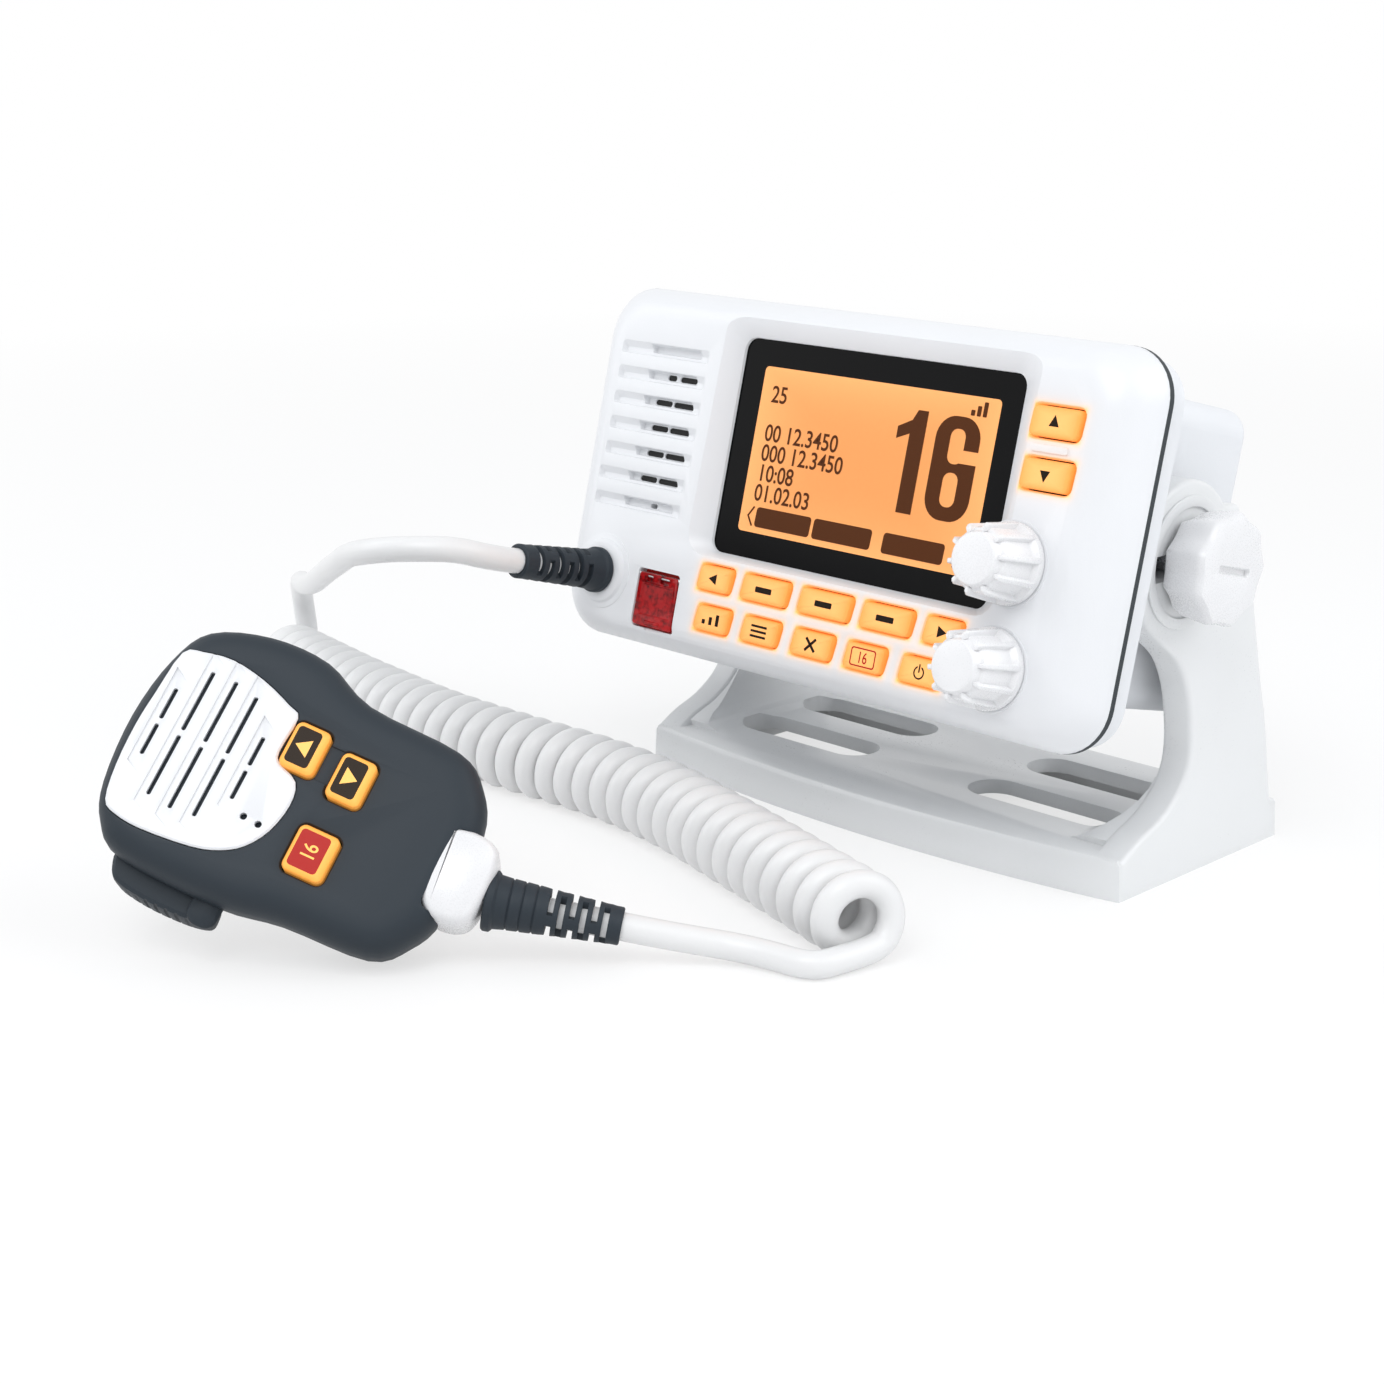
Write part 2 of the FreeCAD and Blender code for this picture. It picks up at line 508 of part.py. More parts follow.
screws = []
for across in (-1, 1):
    for up in (-1, 1):
        spot = ("panel_shift + %d * (panel_width / 2 - flange_inset - panel_corner)" % across, "-(%s) + flange_depth" % FLANGE_PLANE,
                "-panel_drop + %d * (panel_height / 2 - flange_inset - panel_corner / 1.6)" % up)
        screws.append(rod("screw", "screw_head", "1.6", spot, "y"))
finish("case_screws", group("case_screws", *screws), RADIO)

# Clamp knobs: a scalloped grip on a threaded stud, and a washer that travels with it.
for side, word in ((-1, "left"), (1, "right")):
    way = "x" if side > 0 else "-x"
    outside = "(base_width / 2 + washer_thick)"
    at = ("%d * %s" % (side, outside), "0", "0")
    grip = rod(word + "_grip", "clamp_round", "clamp_thick", at, way)
    bites = []
    for i in range(int(num("clamp_lobes"))):
        turn = 2 * math.pi * i / num("clamp_lobes")
        spot = ("%d * (%s - 1)" % (side, outside), "clamp_cut * %.6f" % math.cos(turn), "clamp_cut * %.6f" % math.sin(turn))
        bites.append(rod("%s_bite%d" % (word, i), "clamp_scallop", "clamp_thick + 2", spot, way))
    coin = block(word + "_coin", "coin_deep * 2", "coin_long", "coin_wide",
                 ("%d * (%s + clamp_thick) - coin_deep" % (side, outside), "-coin_long / 2", "-coin_wide / 2"))
    stud_at = ("%d * (%s + stud_hold - stud_long)" % (side, outside), "0", "0")
    stud = rod("clamp_stud_" + word, "stud_round", "stud_long", stud_at, way)
    socket = rod(word + "_socket", "stud_round", "stud_hold", at, way)
    finish("clamp_knob_" + word, cut("clamp_knob_" + word, grip, coin, socket, *bites), RADIO)
    finish("clamp_stud_" + word, fuse("clamp_stud_" + word, stud, rod(word + "_stud_core", "stud_round / 2", "stud_long",
                                      stud_at, way)), RADIO)
    washer_at = ("%d * base_width / 2" % side, "0", "0")
    washer = cut("clamp_washer_" + word, rod(word + "_disc", "washer_round", "washer_thick", washer_at, way),
                 rod(word + "_hole", "stud_round + running_gap", "washer_thick", washer_at, way))
    finish("clamp_washer_" + word, washer, RADIO)

# The strain relief that stands on the panel's boss: a stem, a flange and a tapered sleeve.
GLAND_Y = "-bezel_front - gland_proud"
gland_at = ("gland_across", GLAND_Y, "gland_up")
relief = fuse("radio_strain_relief", rod("relief_flange", "relief_base", "relief_flange", gland_at, "-y"),
              cone("relief_sleeve", "relief_base - 0.6", "relief_tip", "relief_long", gland_at, "-y"),
              rod("relief_stem", "relief_bore", "bezel_wall + gland_proud", gland_at, "y"))
finish("radio_strain_relief", relief, RADIO)

# The hand microphone, in its own frame: X runs to the cord's end, Z is square to the face and the
# shells part at Z = 0. The outline's corners are shares of the length and of the width.
MIC_CORNERS = [(-0.517, -0.264), (-0.471, -0.404), (-0.379, -0.490), (-0.092, -0.505), (0.092, -0.467),
               (0.345, -0.448), (0.437, -0.342), (0.483, -0.187), (0.483, 0.140), (0.425, 0.303),
               (0.322, 0.389), (0.046, 0.409), (-0.115, 0.495), (-0.287, 0.495), (-0.448, 0.412), (-0.511, 0.249)]
PLATE_CORNERS = [(-0.474, 0.278), (-0.422, 0.313), (-0.338, 0.331), (-0.237, 0.309), (-0.143, 0.263),
                 (-0.113, 0.238), (-0.113, 0.028), (-0.018, 0.010), (-0.014, -0.076), (-0.031, -0.191),
                 (-0.071, -0.278), (-0.126, -0.330), (-0.203, -0.362), (-0.347, -0.379), (-0.428, -0.367),
                 (-0.467, -0.334), (-0.487, -0.202), (-0.487, -0.037), (-0.481, 0.103)]


def mic_outline(corners, inset="0"):
    """The corners as expressions, drawn in by inset at the furthest of them."""
    return [("%s * (mic_length - 2 * (%s))" % (x, inset), "%s * (mic_width - 2 * (%s))" % (y, inset))
            for x, y in corners]


def loft(body, levels):
    """A ruled loft through the microphone's outline at levels of height and inset."""
    profiles = []
    for height, inset in levels:
        profile = sketch(body, "XY", height)
        polygon(profile, mic_outline(MIC_CORNERS, inset))
        profiles.append(profile)
    item = body.newObject("PartDesign::AdditiveLoft", body.Name + "_loft")
    item.Profile = profiles[0]
    item.Sections = profiles[1:]
    item.Ruled = True
    doc.recompute()
    return item


COLLAR = ("mic_length * 0.483 - collar_sink + collar_long / 2 + 20", "collar_across", "collar_long + 40", "collar_wide")
front = new_body("mic_front_shell")
loft(front, [("0", "0"), ("mic_front * 0.66", "mic_swell"), ("mic_front", "mic_swell * 3")])
hollow = sketch(front, "XY")
polygon(hollow, mic_outline(MIC_CORNERS, "mic_wall + mic_swell"))
pocket(front, hollow, "mic_front - mic_wall", reverse=True)
recess = sketch(front, "XY", "mic_front")
polygon(recess, mic_outline(PLATE_CORNERS, "-0.2"))
pocket(front, recess, "plate_thick - plate_proud")
throat = sketch(front, "XY", "mic_front")
circle(throat, "mic_speaker_across", "mic_speaker_up", "mic_speaker_round - 2")
pocket(front, throat, "mic_wall")
MIC_KEYS = [("mic_key_up", "-3.9", "8.5", "mic_key_long", "mic_key_wide"),
            ("mic_key_down", "9.0", "6.3", "mic_key_long", "mic_key_wide"),
            ("mic_key_call", "8.5", "-13.0", "mic_key_long + 1.4", "mic_key_wide")]
holes = sketch(front, "XY", "mic_front")
for name, x, y, long, wide in MIC_KEYS:
    oblong(holes, x, y, long + " + 2 * fit_gap", wide + " + 2 * fit_gap")
pocket(front, holes, "mic_wall")
notch = sketch(front, "XY", "mic_front")
oblong(notch, *COLLAR)
pocket(front, notch, "mic_front")
finish("mic_front_shell", front, MIC)

rear = new_body("mic_rear_shell")
loft(rear, [("0", "0"), ("-mic_back * 0.6", "mic_swell"), ("-mic_back", "mic_swell * 4")])
hollow = sketch(rear, "XY")
polygon(hollow, mic_outline(MIC_CORNERS, "mic_wall + mic_swell * 1.6"))
pocket(rear, hollow, "mic_back - mic_wall")
notch = sketch(rear, "XY")
oblong(notch, *COLLAR)
pocket(rear, notch, "mic_back")
for start in ("-ptt_lug", "-mic_back"):
    lug = sketch(rear, "XY", start)
    oblong(lug, "ptt_pivot", "-ptt_side + ptt_lug", "ptt_lug * 1.8", "ptt_lug * 4")
    pad(rear, lug, "ptt_lug")
pin_bore = sketch(rear, "XY")
circle(pin_bore, "ptt_pivot", "-ptt_side", "ptt_pin")
pocket(rear, pin_bore, "mic_back")
SCREWS = [("-0.36", "0.3"), ("-0.36", "-0.32"), ("0.3", "0.24"), ("0.3", "-0.27")]
seats = sketch(rear, "XY", "-mic_back")
for x, y in SCREWS:
    circle(seats, x + " * mic_length", y + " * mic_width", "screw_head - 0.3")
pocket(rear, seats, "screw_tall", reverse=True)
finish("mic_rear_shell", rear, MIC)

plate = new_body("mic_face_plate")
face = sketch(plate, "XY", "mic_front + plate_proud - plate_thick")
polygon(face, mic_outline(PLATE_CORNERS))
pad(plate, face, "plate_thick")
slots = sketch(plate, "XY", "mic_front + plate_proud")
for i in range(5):
    across = "mic_speaker_across + %d * grille_pitch" % (i - 2)
    shift = "%s * grille_step" % (2 - i)
    oblong(slots, across, "mic_speaker_up + grille_long / 2 + 1.2 + " + shift, "grille_slot", "grille_long")
    oblong(slots, across, "mic_speaker_up - grille_long / 2 - 1.2 + " + shift, "grille_slot", "grille_long")
pocket(plate, slots, "plate_thick")
finish("mic_face_plate", plate, MIC)

SPEAKER_BACK = "mic_front - mic_wall - mic_speaker_deep"
disc = rod("mic_speaker_rim", "mic_speaker_round", "mic_speaker_deep / 2",
           ("mic_speaker_across", "mic_speaker_up", "mic_front - mic_wall - mic_speaker_deep / 2"))
magnet = rod("mic_speaker_magnet", "mic_speaker_round * 0.6", "mic_speaker_deep",
             ("mic_speaker_across", "mic_speaker_up", SPEAKER_BACK))
finish("mic_speaker", fuse("mic_speaker", disc, magnet), MIC)
slab = block("mic_board_slab", "mic_length * 0.7", "mic_width * 0.62", "board_thick",
             ("-mic_length * 0.4", "-mic_width * 0.31", SPEAKER_BACK + " - board_thick"))
finish("mic_board", group("mic_board", slab), MIC)
capsule = fuse("mic_element", rod("mic_capsule", "4", "3.5", ("-6", "-15.5", SPEAKER_BACK)),
               rod("mic_capsule_core", "3", "3.5", ("-6", "-15.5", SPEAKER_BACK)))
finish("mic_element", capsule, MIC)
for name, x, y, long, wide in MIC_KEYS:
    key = new_body(name)
    profile = sketch(key, "XY", SPEAKER_BACK + " + mic_key_travel + fit_gap")
    oblong(profile, x, y, long, wide)
    pad(key, profile, "mic_front + mic_key_proud - (%s) - mic_key_travel - fit_gap" % SPEAKER_BACK)
    soften(key, "1.6", lambda e: along(e, Z))
    finish(name, key, MIC)

lever = new_body("ptt_lever")
paddle = sketch(lever, "XY", "-mic_back + 1")
oblong(paddle, "ptt_pivot - ptt_long / 2 - ptt_lug", "-ptt_side - ptt_wide / 2 + 1", "ptt_long", "ptt_wide")
pad(lever, paddle, "mic_back - 2")
arm = sketch(lever, "XY", "-mic_back + ptt_lug + fit_gap")
oblong(arm, "ptt_pivot - ptt_lug", "-ptt_side", "ptt_lug * 2 + 2", "ptt_lug * 1.2")
pad(lever, arm, "mic_back - 2 * (ptt_lug + fit_gap)")
barrel = sketch(lever, "XY", "-mic_back + ptt_lug + fit_gap")
circle(barrel, "ptt_pivot", "-ptt_side", "ptt_pin + 1.4")
pad(lever, barrel, "mic_back - 2 * (ptt_lug + fit_gap)")
eye = sketch(lever, "XY", "-ptt_lug")
circle(eye, "ptt_pivot", "-ptt_side", "ptt_pin + running_gap")
pocket(lever, eye, "mic_back")
finish("ptt_lever", lever, MIC)
pin = fuse("ptt_pin", rod("ptt_pin_rod", "ptt_pin", "mic_back", ("ptt_pivot", "-ptt_side", "-mic_back")),
           rod("ptt_pin_core", "ptt_pin / 2", "mic_back", ("ptt_pivot", "-ptt_side", "-mic_back")))
finish("ptt_pin", pin, MIC)

collar = new_body("mic_collar")
block_face = sketch(collar, "XY", "mic_front * 0.9")
oblong(block_face, "mic_length * 0.483 - collar_sink + collar_long / 2 + fit_gap / 2", "collar_across", "collar_long - fit_gap",
       "collar_wide - 2 * fit_gap")
pad(collar, block_face, "collar_thick", reverse=True)
soften(collar, "3.5", lambda e: e.CenterOfMass.x > num("mic_length * 0.483 - collar_sink + collar_long / 2") + 3)
bore = sketch(collar, "YZ", "mic_length * 0.483 + 2")
circle(bore, "collar_across + collar_lead", "0", "relief_bore")
pocket(collar, bore, "collar_long", reverse=True)
finish("mic_collar", collar, MIC)

COLLAR_END = "mic_length * 0.483 - collar_sink + collar_long"
BEND = num("relief_bend")
sleeve = cone("mic_sleeve", "mic_relief_base", "mic_relief_tip", "mic_relief_long", ("0", "0", "0"), "x")
stem = rod("mic_stem", "relief_bore", "collar_long / 2", ("-collar_long / 2", "0", "0"), "x")
flange = rod("mic_flange", "mic_relief_base + 0.8", "relief_flange", ("0", "0", "0"), "x")
mic_relief = fuse("mic_strain_relief", sleeve, flange, stem)
finish("mic_strain_relief", mic_relief,
       MIC * Placement(Vector(num(COLLAR_END), num("collar_across + collar_lead"), 0), Rotation(Z, BEND)))
stud = fuse("mic_hanger_stud", rod("hanger_neck", "hanger_round - 3", "hanger_long", ("-8", "0", "-mic_back - hanger_long")),
            rod("hanger_head", "hanger_round", "hanger_long / 2", ("-8", "0", "-mic_back - hanger_long")))
finish("mic_hanger_stud", stud, MIC)
heads = [rod("mic_screw", "screw_head - 0.3", "screw_tall", (x + " * mic_length", y + " * mic_width", "-mic_back"))
         for x, y in SCREWS]
finish("mic_screws", group("mic_screws", *heads), MIC)


# The cord: a lead from the radio, the curls, and a lead to the microphone, one diameter throughout.
def tube(name, points, radius):
    """A round tube along straight runs joined by tangent arcs, each as large as its runs allow."""
    starts = [points[0]]
    arcs = []
    for before, here, after in zip(points, points[1:], points[2:]):
        into, out = here - before, after - here
        shorter = min(into.Length, out.Length)
        into.normalize()
        out.normalize()
        half = math.acos(max(-1, min(1, into.dot(out)))) / 2
        reach = 0.45 * shorter
        size = reach / math.tan(half)
        bisector = (out - into).normalize()
        middle = here + bisector * (size / math.cos(half) - size)
        arcs.append((here - into * reach, middle, here + out * reach, size))
    edges = []
    for start, middle, end, size in arcs:
        edges.append(Part.LineSegment(starts[-1], start).toShape())
        edges.append(Part.Arc(start, middle, end).toShape())
        starts.append(end)
    edges.append(Part.LineSegment(starts[-1], points[-1]).toShape())
    print(name, "radii in diameters:", [round(size / radius / 2, 1) for *_, size in arcs])
    path = Part.Wire(edges)
    ring = Part.Wire(Part.Circle(points[0], points[1] - points[0], radius).toShape())
    solid = path.makePipeShell([ring], True, False)
    print(name, "length", round(path.Length, 1), "volume over section times length",
          round(solid.Volume / (math.pi * radius ** 2 * path.Length), 4))
    return solid


def shaped(name, solid):
    item = doc.addObject("Part::Feature", name)
    item.Shape = solid
    return finish(name, item)


CORD = num("cord_round")
COIL_Z = CORD + num("coil_round") + num("floor_gap")
COIL_AXIS = [Vector(x, y, COIL_Z) for x, y in
             [(-219, -69), (-193, -74), (-164, -79), (-125, -84), (-90, -84.5), (-55, -82), (-25, -85.5),
              (8, -94.5), (36, -102.5), (65, -111)]]
axis_curve = Part.BSplineCurve()
axis_curve.interpolate(Points=COIL_AXIS, InitialTangent=Vector(1, -0.17, 0), FinalTangent=Vector(0.93, -0.37, 0))
axis_edge = axis_curve.toShape()
turns = round(axis_edge.Length / num("coil_pitch") - 0.25) + 0.25


def coil_point(done):
    """A point of the curls after so many turns, which start at the back and end at the bottom."""
    at = axis_edge.getParameterByLength(axis_edge.Length * min(max(done / turns, 0), 1))
    ahead = axis_curve.tangent(at)[0]
    back = Z.cross(ahead)
    angle = 2 * math.pi * (done + 0.25)
    return axis_curve.value(at) + (Z * math.cos(angle) + back * math.sin(angle)) * num("coil_round")


def coil_heading(done):
    step = 0.002
    low, high = max(done - step, 0), min(done + step, turns)
    return (coil_point(high) - coil_point(low)).normalize()


def arc_leaving(start, heading, end):
    """The arc that leaves start along heading and ends at end."""
    chord = end - start
    away = Vector(chord).normalize()
    angle = math.acos(max(-1, min(1, heading.dot(away))))
    side = (heading - away * heading.dot(away)).normalize()
    return Part.Arc(start, start + chord / 2 + side * (chord.Length / 2 * math.tan(angle / 2)), end).toShape()


def biarc(start, heading, end, last):
    """Two arcs that leave start along heading and reach end along last."""
    way, both = end - start, heading + last
    spread = 2 * (1 - heading.dot(last))
    lean = way.dot(both)
    reach = (math.sqrt(lean ** 2 + spread * way.dot(way)) - lean) / spread
    middle = (start + end + (heading - last) * reach) / 2
    tangent = ((middle - start) - heading * (middle - start).dot(heading))
    first = arc_leaving(start, heading, middle)
    second = arc_leaving(end, last * -1, middle)
    return [first, Part.Arc(middle, second.valueAt((second.FirstParameter + second.LastParameter) / 2), end).toShape()]


stations = [0] + [0.25 + 0.5 * i for i in range(int(2 * turns) + 1)]
stations = [s for s in stations if s <= turns + 1e-6]
coil_edges = []
for low, high in zip(stations, stations[1:]):
    coil_edges += biarc(coil_point(low), coil_heading(low), coil_point(high), coil_heading(high))
TAIL = 2 * CORD
coil_start = coil_point(0) - coil_heading(0) * TAIL
coil_end = coil_point(turns) + coil_heading(turns) * TAIL
coil_edges.insert(0, Part.LineSegment(coil_start, coil_point(0)).toShape())
coil_edges.append(Part.LineSegment(coil_point(turns), coil_end).toShape())
coil_path = Part.Wire(coil_edges)
ring = Part.Wire(Part.Circle(coil_start, coil_heading(0), CORD).toShape())
coil = coil_path.makePipeShell([ring], True, False)
samples = [edge.valueAt(edge.FirstParameter + (edge.LastParameter - edge.FirstParameter) * i / 6)
           for edge in coil_edges for i in range(6)]
gaps = [samples[i].distanceToPoint(samples[j]) - 2 * CORD
        for i in range(len(samples)) for j in range(i + 14, min(i + 60, len(samples)))]
print("coil turns", turns, "length", round(coil_path.Length), "least gap to itself", round(min(gaps), 2),
      "volume over section times length", round(coil.Volume / (math.pi * CORD ** 2 * coil_path.Length), 4))
shaped("coil_cord", coil)

relief_end = RADIO.multVec(Vector(num("gland_across"), -num("bezel_front + gland_proud + relief_long"), num("gland_up")))
relief_way = RADIO.Rotation.multVec(Vector(0, -1, 0))
radio_route = [relief_end, relief_end + relief_way * 9.5, Vector(-69.1, -119.8, 78.7), Vector(-74.9, -127.4, 79.1),
               Vector(-83.3, -131.8, 78.3), Vector(-92.8, -132.2, 76.1), Vector(-105, -127.5, 72.7),
               Vector(-120, -119.5, 67), Vector(-145, -106, 57.8), Vector(-170, -93, 47.5), Vector(-187, -84, 43),
               Vector(-200, -76, 40.5), Vector(-210, -69, 36.5), Vector(-216.8, -63.9, 32.2),
               coil_start - coil_heading(0) * 8.2, coil_start]
shaped("radio_lead", tube("radio_lead", radio_route, CORD))
tip = MIC * Placement(Vector(num(COLLAR_END), num("collar_across + collar_lead"), 0), Rotation(Z, BEND))
mic_tip = tip.multVec(Vector(num("mic_relief_long"), 0, 0))
mic_way = tip.Rotation.multVec(X)
print("coil start", coil_start, "coil end", coil_end, "microphone lead from", mic_tip)
mic_route = [mic_tip, mic_tip + mic_way * 8, Vector(35.5, -137.3, 5.8), Vector(42.5, -130.5, 4.1),
             Vector(50.5, -127.3, 3.45), coil_end + coil_heading(turns) * 8.5, coil_end]
shaped("mic_lead", tube("mic_lead", mic_route, CORD))

# Single boxes get the radio's placement through a one-piece group.
for i, (name, item) in enumerate(finished):
    if item.TypeId == "Part::Box":
        item.Label = name + "_block"
        holder = group(name, item)
        holder.Label = name
        holder.Placement = RADIO
        finished[i] = (name, holder)


def check_and_write():
    doc.recompute()
    for item in doc.Objects:
        if "Invalid" in item.State or "Error" in item.State:
            raise RuntimeError("%s failed: %s" % (item.Name, item.State))
    for name, item in finished:
        if item.Shape.isNull() or not item.Shape.isValid():
            raise RuntimeError("%s is not a valid shape" % name)
        item.Shape.exportStep("parts/%s.step" % name)
        print(name, len(item.Shape.Solids), round(item.Shape.Volume))


check_and_write()
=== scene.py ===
"""Looks of a fixed-mount marine radio on its bracket, with a hand microphone on a curly cord.

Sizes are millimetres in the frame of each sub-assembly and become metres when a piece is placed.
"""
import logging
import math
from dataclasses import dataclass, field
from enum import Enum
from typing import ClassVar, Iterable, Optional, Sequence, Union

import bpy
from mathutils import Matrix, Vector


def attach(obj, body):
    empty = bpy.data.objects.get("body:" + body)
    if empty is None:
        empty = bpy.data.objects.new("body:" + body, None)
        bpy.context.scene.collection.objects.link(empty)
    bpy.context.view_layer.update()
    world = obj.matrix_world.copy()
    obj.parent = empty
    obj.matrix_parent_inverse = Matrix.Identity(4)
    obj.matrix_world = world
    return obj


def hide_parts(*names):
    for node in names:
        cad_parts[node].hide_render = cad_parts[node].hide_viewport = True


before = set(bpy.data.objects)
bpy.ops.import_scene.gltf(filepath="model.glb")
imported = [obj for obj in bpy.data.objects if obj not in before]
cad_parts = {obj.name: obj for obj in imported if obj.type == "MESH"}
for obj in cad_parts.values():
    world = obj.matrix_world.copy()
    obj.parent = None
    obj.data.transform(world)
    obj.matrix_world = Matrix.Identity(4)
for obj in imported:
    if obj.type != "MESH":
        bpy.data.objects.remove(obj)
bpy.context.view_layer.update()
LOG = logging.getLogger("marine_radio")
MM = 0.001
CALLING = "16"
Point2 = tuple[float, float]
Point3 = tuple[float, float, float]
Number = Union[float, "Wire"]


class Body(Enum):
    """The rigid bodies that pieces ride on."""

    BRACKET = "bracket"
    RADIO = "radio"
    MICROPHONE = "microphone"


@dataclass(frozen=True)
class Stance:
    """Where the radio and the microphone stand, in millimetres and degrees."""

    pivot_back: float = -15.3
    pivot_height: float = 83.1
    tilt: float = 14.1
    mic_place: Point3 = (-38.0, -191.7, 35.5)
    mic_heading: float = 48.46
    mic_lean: float = 56.37
    mic_spin: float = 26.19

    def radio(self) -> Matrix:
        """The radio's own axes: X along the panel, Y to the rear, Z up the panel, from the pivot."""
        return (Matrix.Scale(MM, 4) @ Matrix.Translation((0, self.pivot_back, self.pivot_height))
                @ Matrix.Rotation(-math.radians(self.tilt), 4, "X"))

    def panel(self) -> Matrix:
        """The panel's axes: X along it, Y up it and Z out of it, from the pivot."""
        return self.radio() @ Matrix.Rotation(math.pi / 2, 4, "X")

    def side(self, sign: int) -> Matrix:
        """Axes at the pivot whose Z points out of one side of the radio."""
        return self.radio() @ Matrix.Rotation(sign * math.pi / 2, 4, "Y")

    def microphone(self) -> Matrix:
        """The microphone's axes: X to its cord, Z square out of its face."""
        turn = (Matrix.Rotation(math.radians(self.mic_heading), 4, "Z")
                @ Matrix.Rotation(math.radians(self.mic_lean), 4, "X")
                @ Matrix.Rotation(-math.radians(self.mic_spin), 4, "Z"))
        return Matrix.Scale(MM, 4) @ Matrix.Translation(self.mic_place) @ turn


STANCE = Stance()


class Wire:
    """A shader socket, or a number, that takes part in Python arithmetic."""

    def __init__(self, tree: bpy.types.NodeTree, value: Union[float, bpy.types.NodeSocket]) -> None:
        """Wraps a socket or a number.

        Args:
            tree: The node tree that new maths nodes go into.
            value: The socket or the number.
        """
        self.tree = tree
        self.value = value

    def feed(self, socket: bpy.types.NodeSocket) -> None:
        """Links or writes the value into an input socket."""
        if isinstance(self.value, bpy.types.NodeSocket):
            self.tree.links.new(self.value, socket)
        else:
            socket.default_value = self.value

    def maths(self, operation: str, other: Optional[Number] = None, swap: bool = False) -> "Wire":
        """Adds one Math node.

        Args:
            operation: The node's operation.
            other: The second operand, if the operation has one.
            swap: Whether the second operand comes first.

        Returns:
            The node's result.
        """
        if other is not None and not isinstance(other, Wire):
            other = Wire(self.tree, other)
        node = self.tree.nodes.new("ShaderNodeMath")
        node.operation = operation
        operands = [self] if other is None else [other, self] if swap else [self, other]
        for socket, operand in zip(node.inputs, operands):
            operand.feed(socket)
        return Wire(self.tree, node.outputs[0])

    def __add__(self, other: Number) -> "Wire":
        """The sum."""
        return self.maths("ADD", other)

    __radd__ = __add__

    def __sub__(self, other: Number) -> "Wire":
        """The difference."""
        return self.maths("SUBTRACT", other)

    def __rsub__(self, other: Number) -> "Wire":
        """The difference from a number."""
        return self.maths("SUBTRACT", other, swap=True)

    def __mul__(self, other: Number) -> "Wire":
        """The product."""
        return self.maths("MULTIPLY", other)

    __rmul__ = __mul__

    def __truediv__(self, other: Number) -> "Wire":
        """The quotient."""
        return self.maths("DIVIDE", other)

    def __rtruediv__(self, other: Number) -> "Wire":
        """A number over this value."""
        return self.maths("DIVIDE", other, swap=True)

    def __pow__(self, other: Number) -> "Wire":
        """The power."""
        return self.maths("POWER", other)

    def __abs__(self) -> "Wire":
        """The size without its sign."""
        return self.maths("ABSOLUTE")

    def least(self, other: Number) -> "Wire":
        """The smaller of two values."""
        return self.maths("MINIMUM", other)

    def most(self, other: Number) -> "Wire":
        """The larger of two values."""
        return self.maths("MAXIMUM", other)

    def over(self, other: Number) -> "Wire":
        """One where this value is above another, else nought."""
        return self.maths("GREATER_THAN", other)


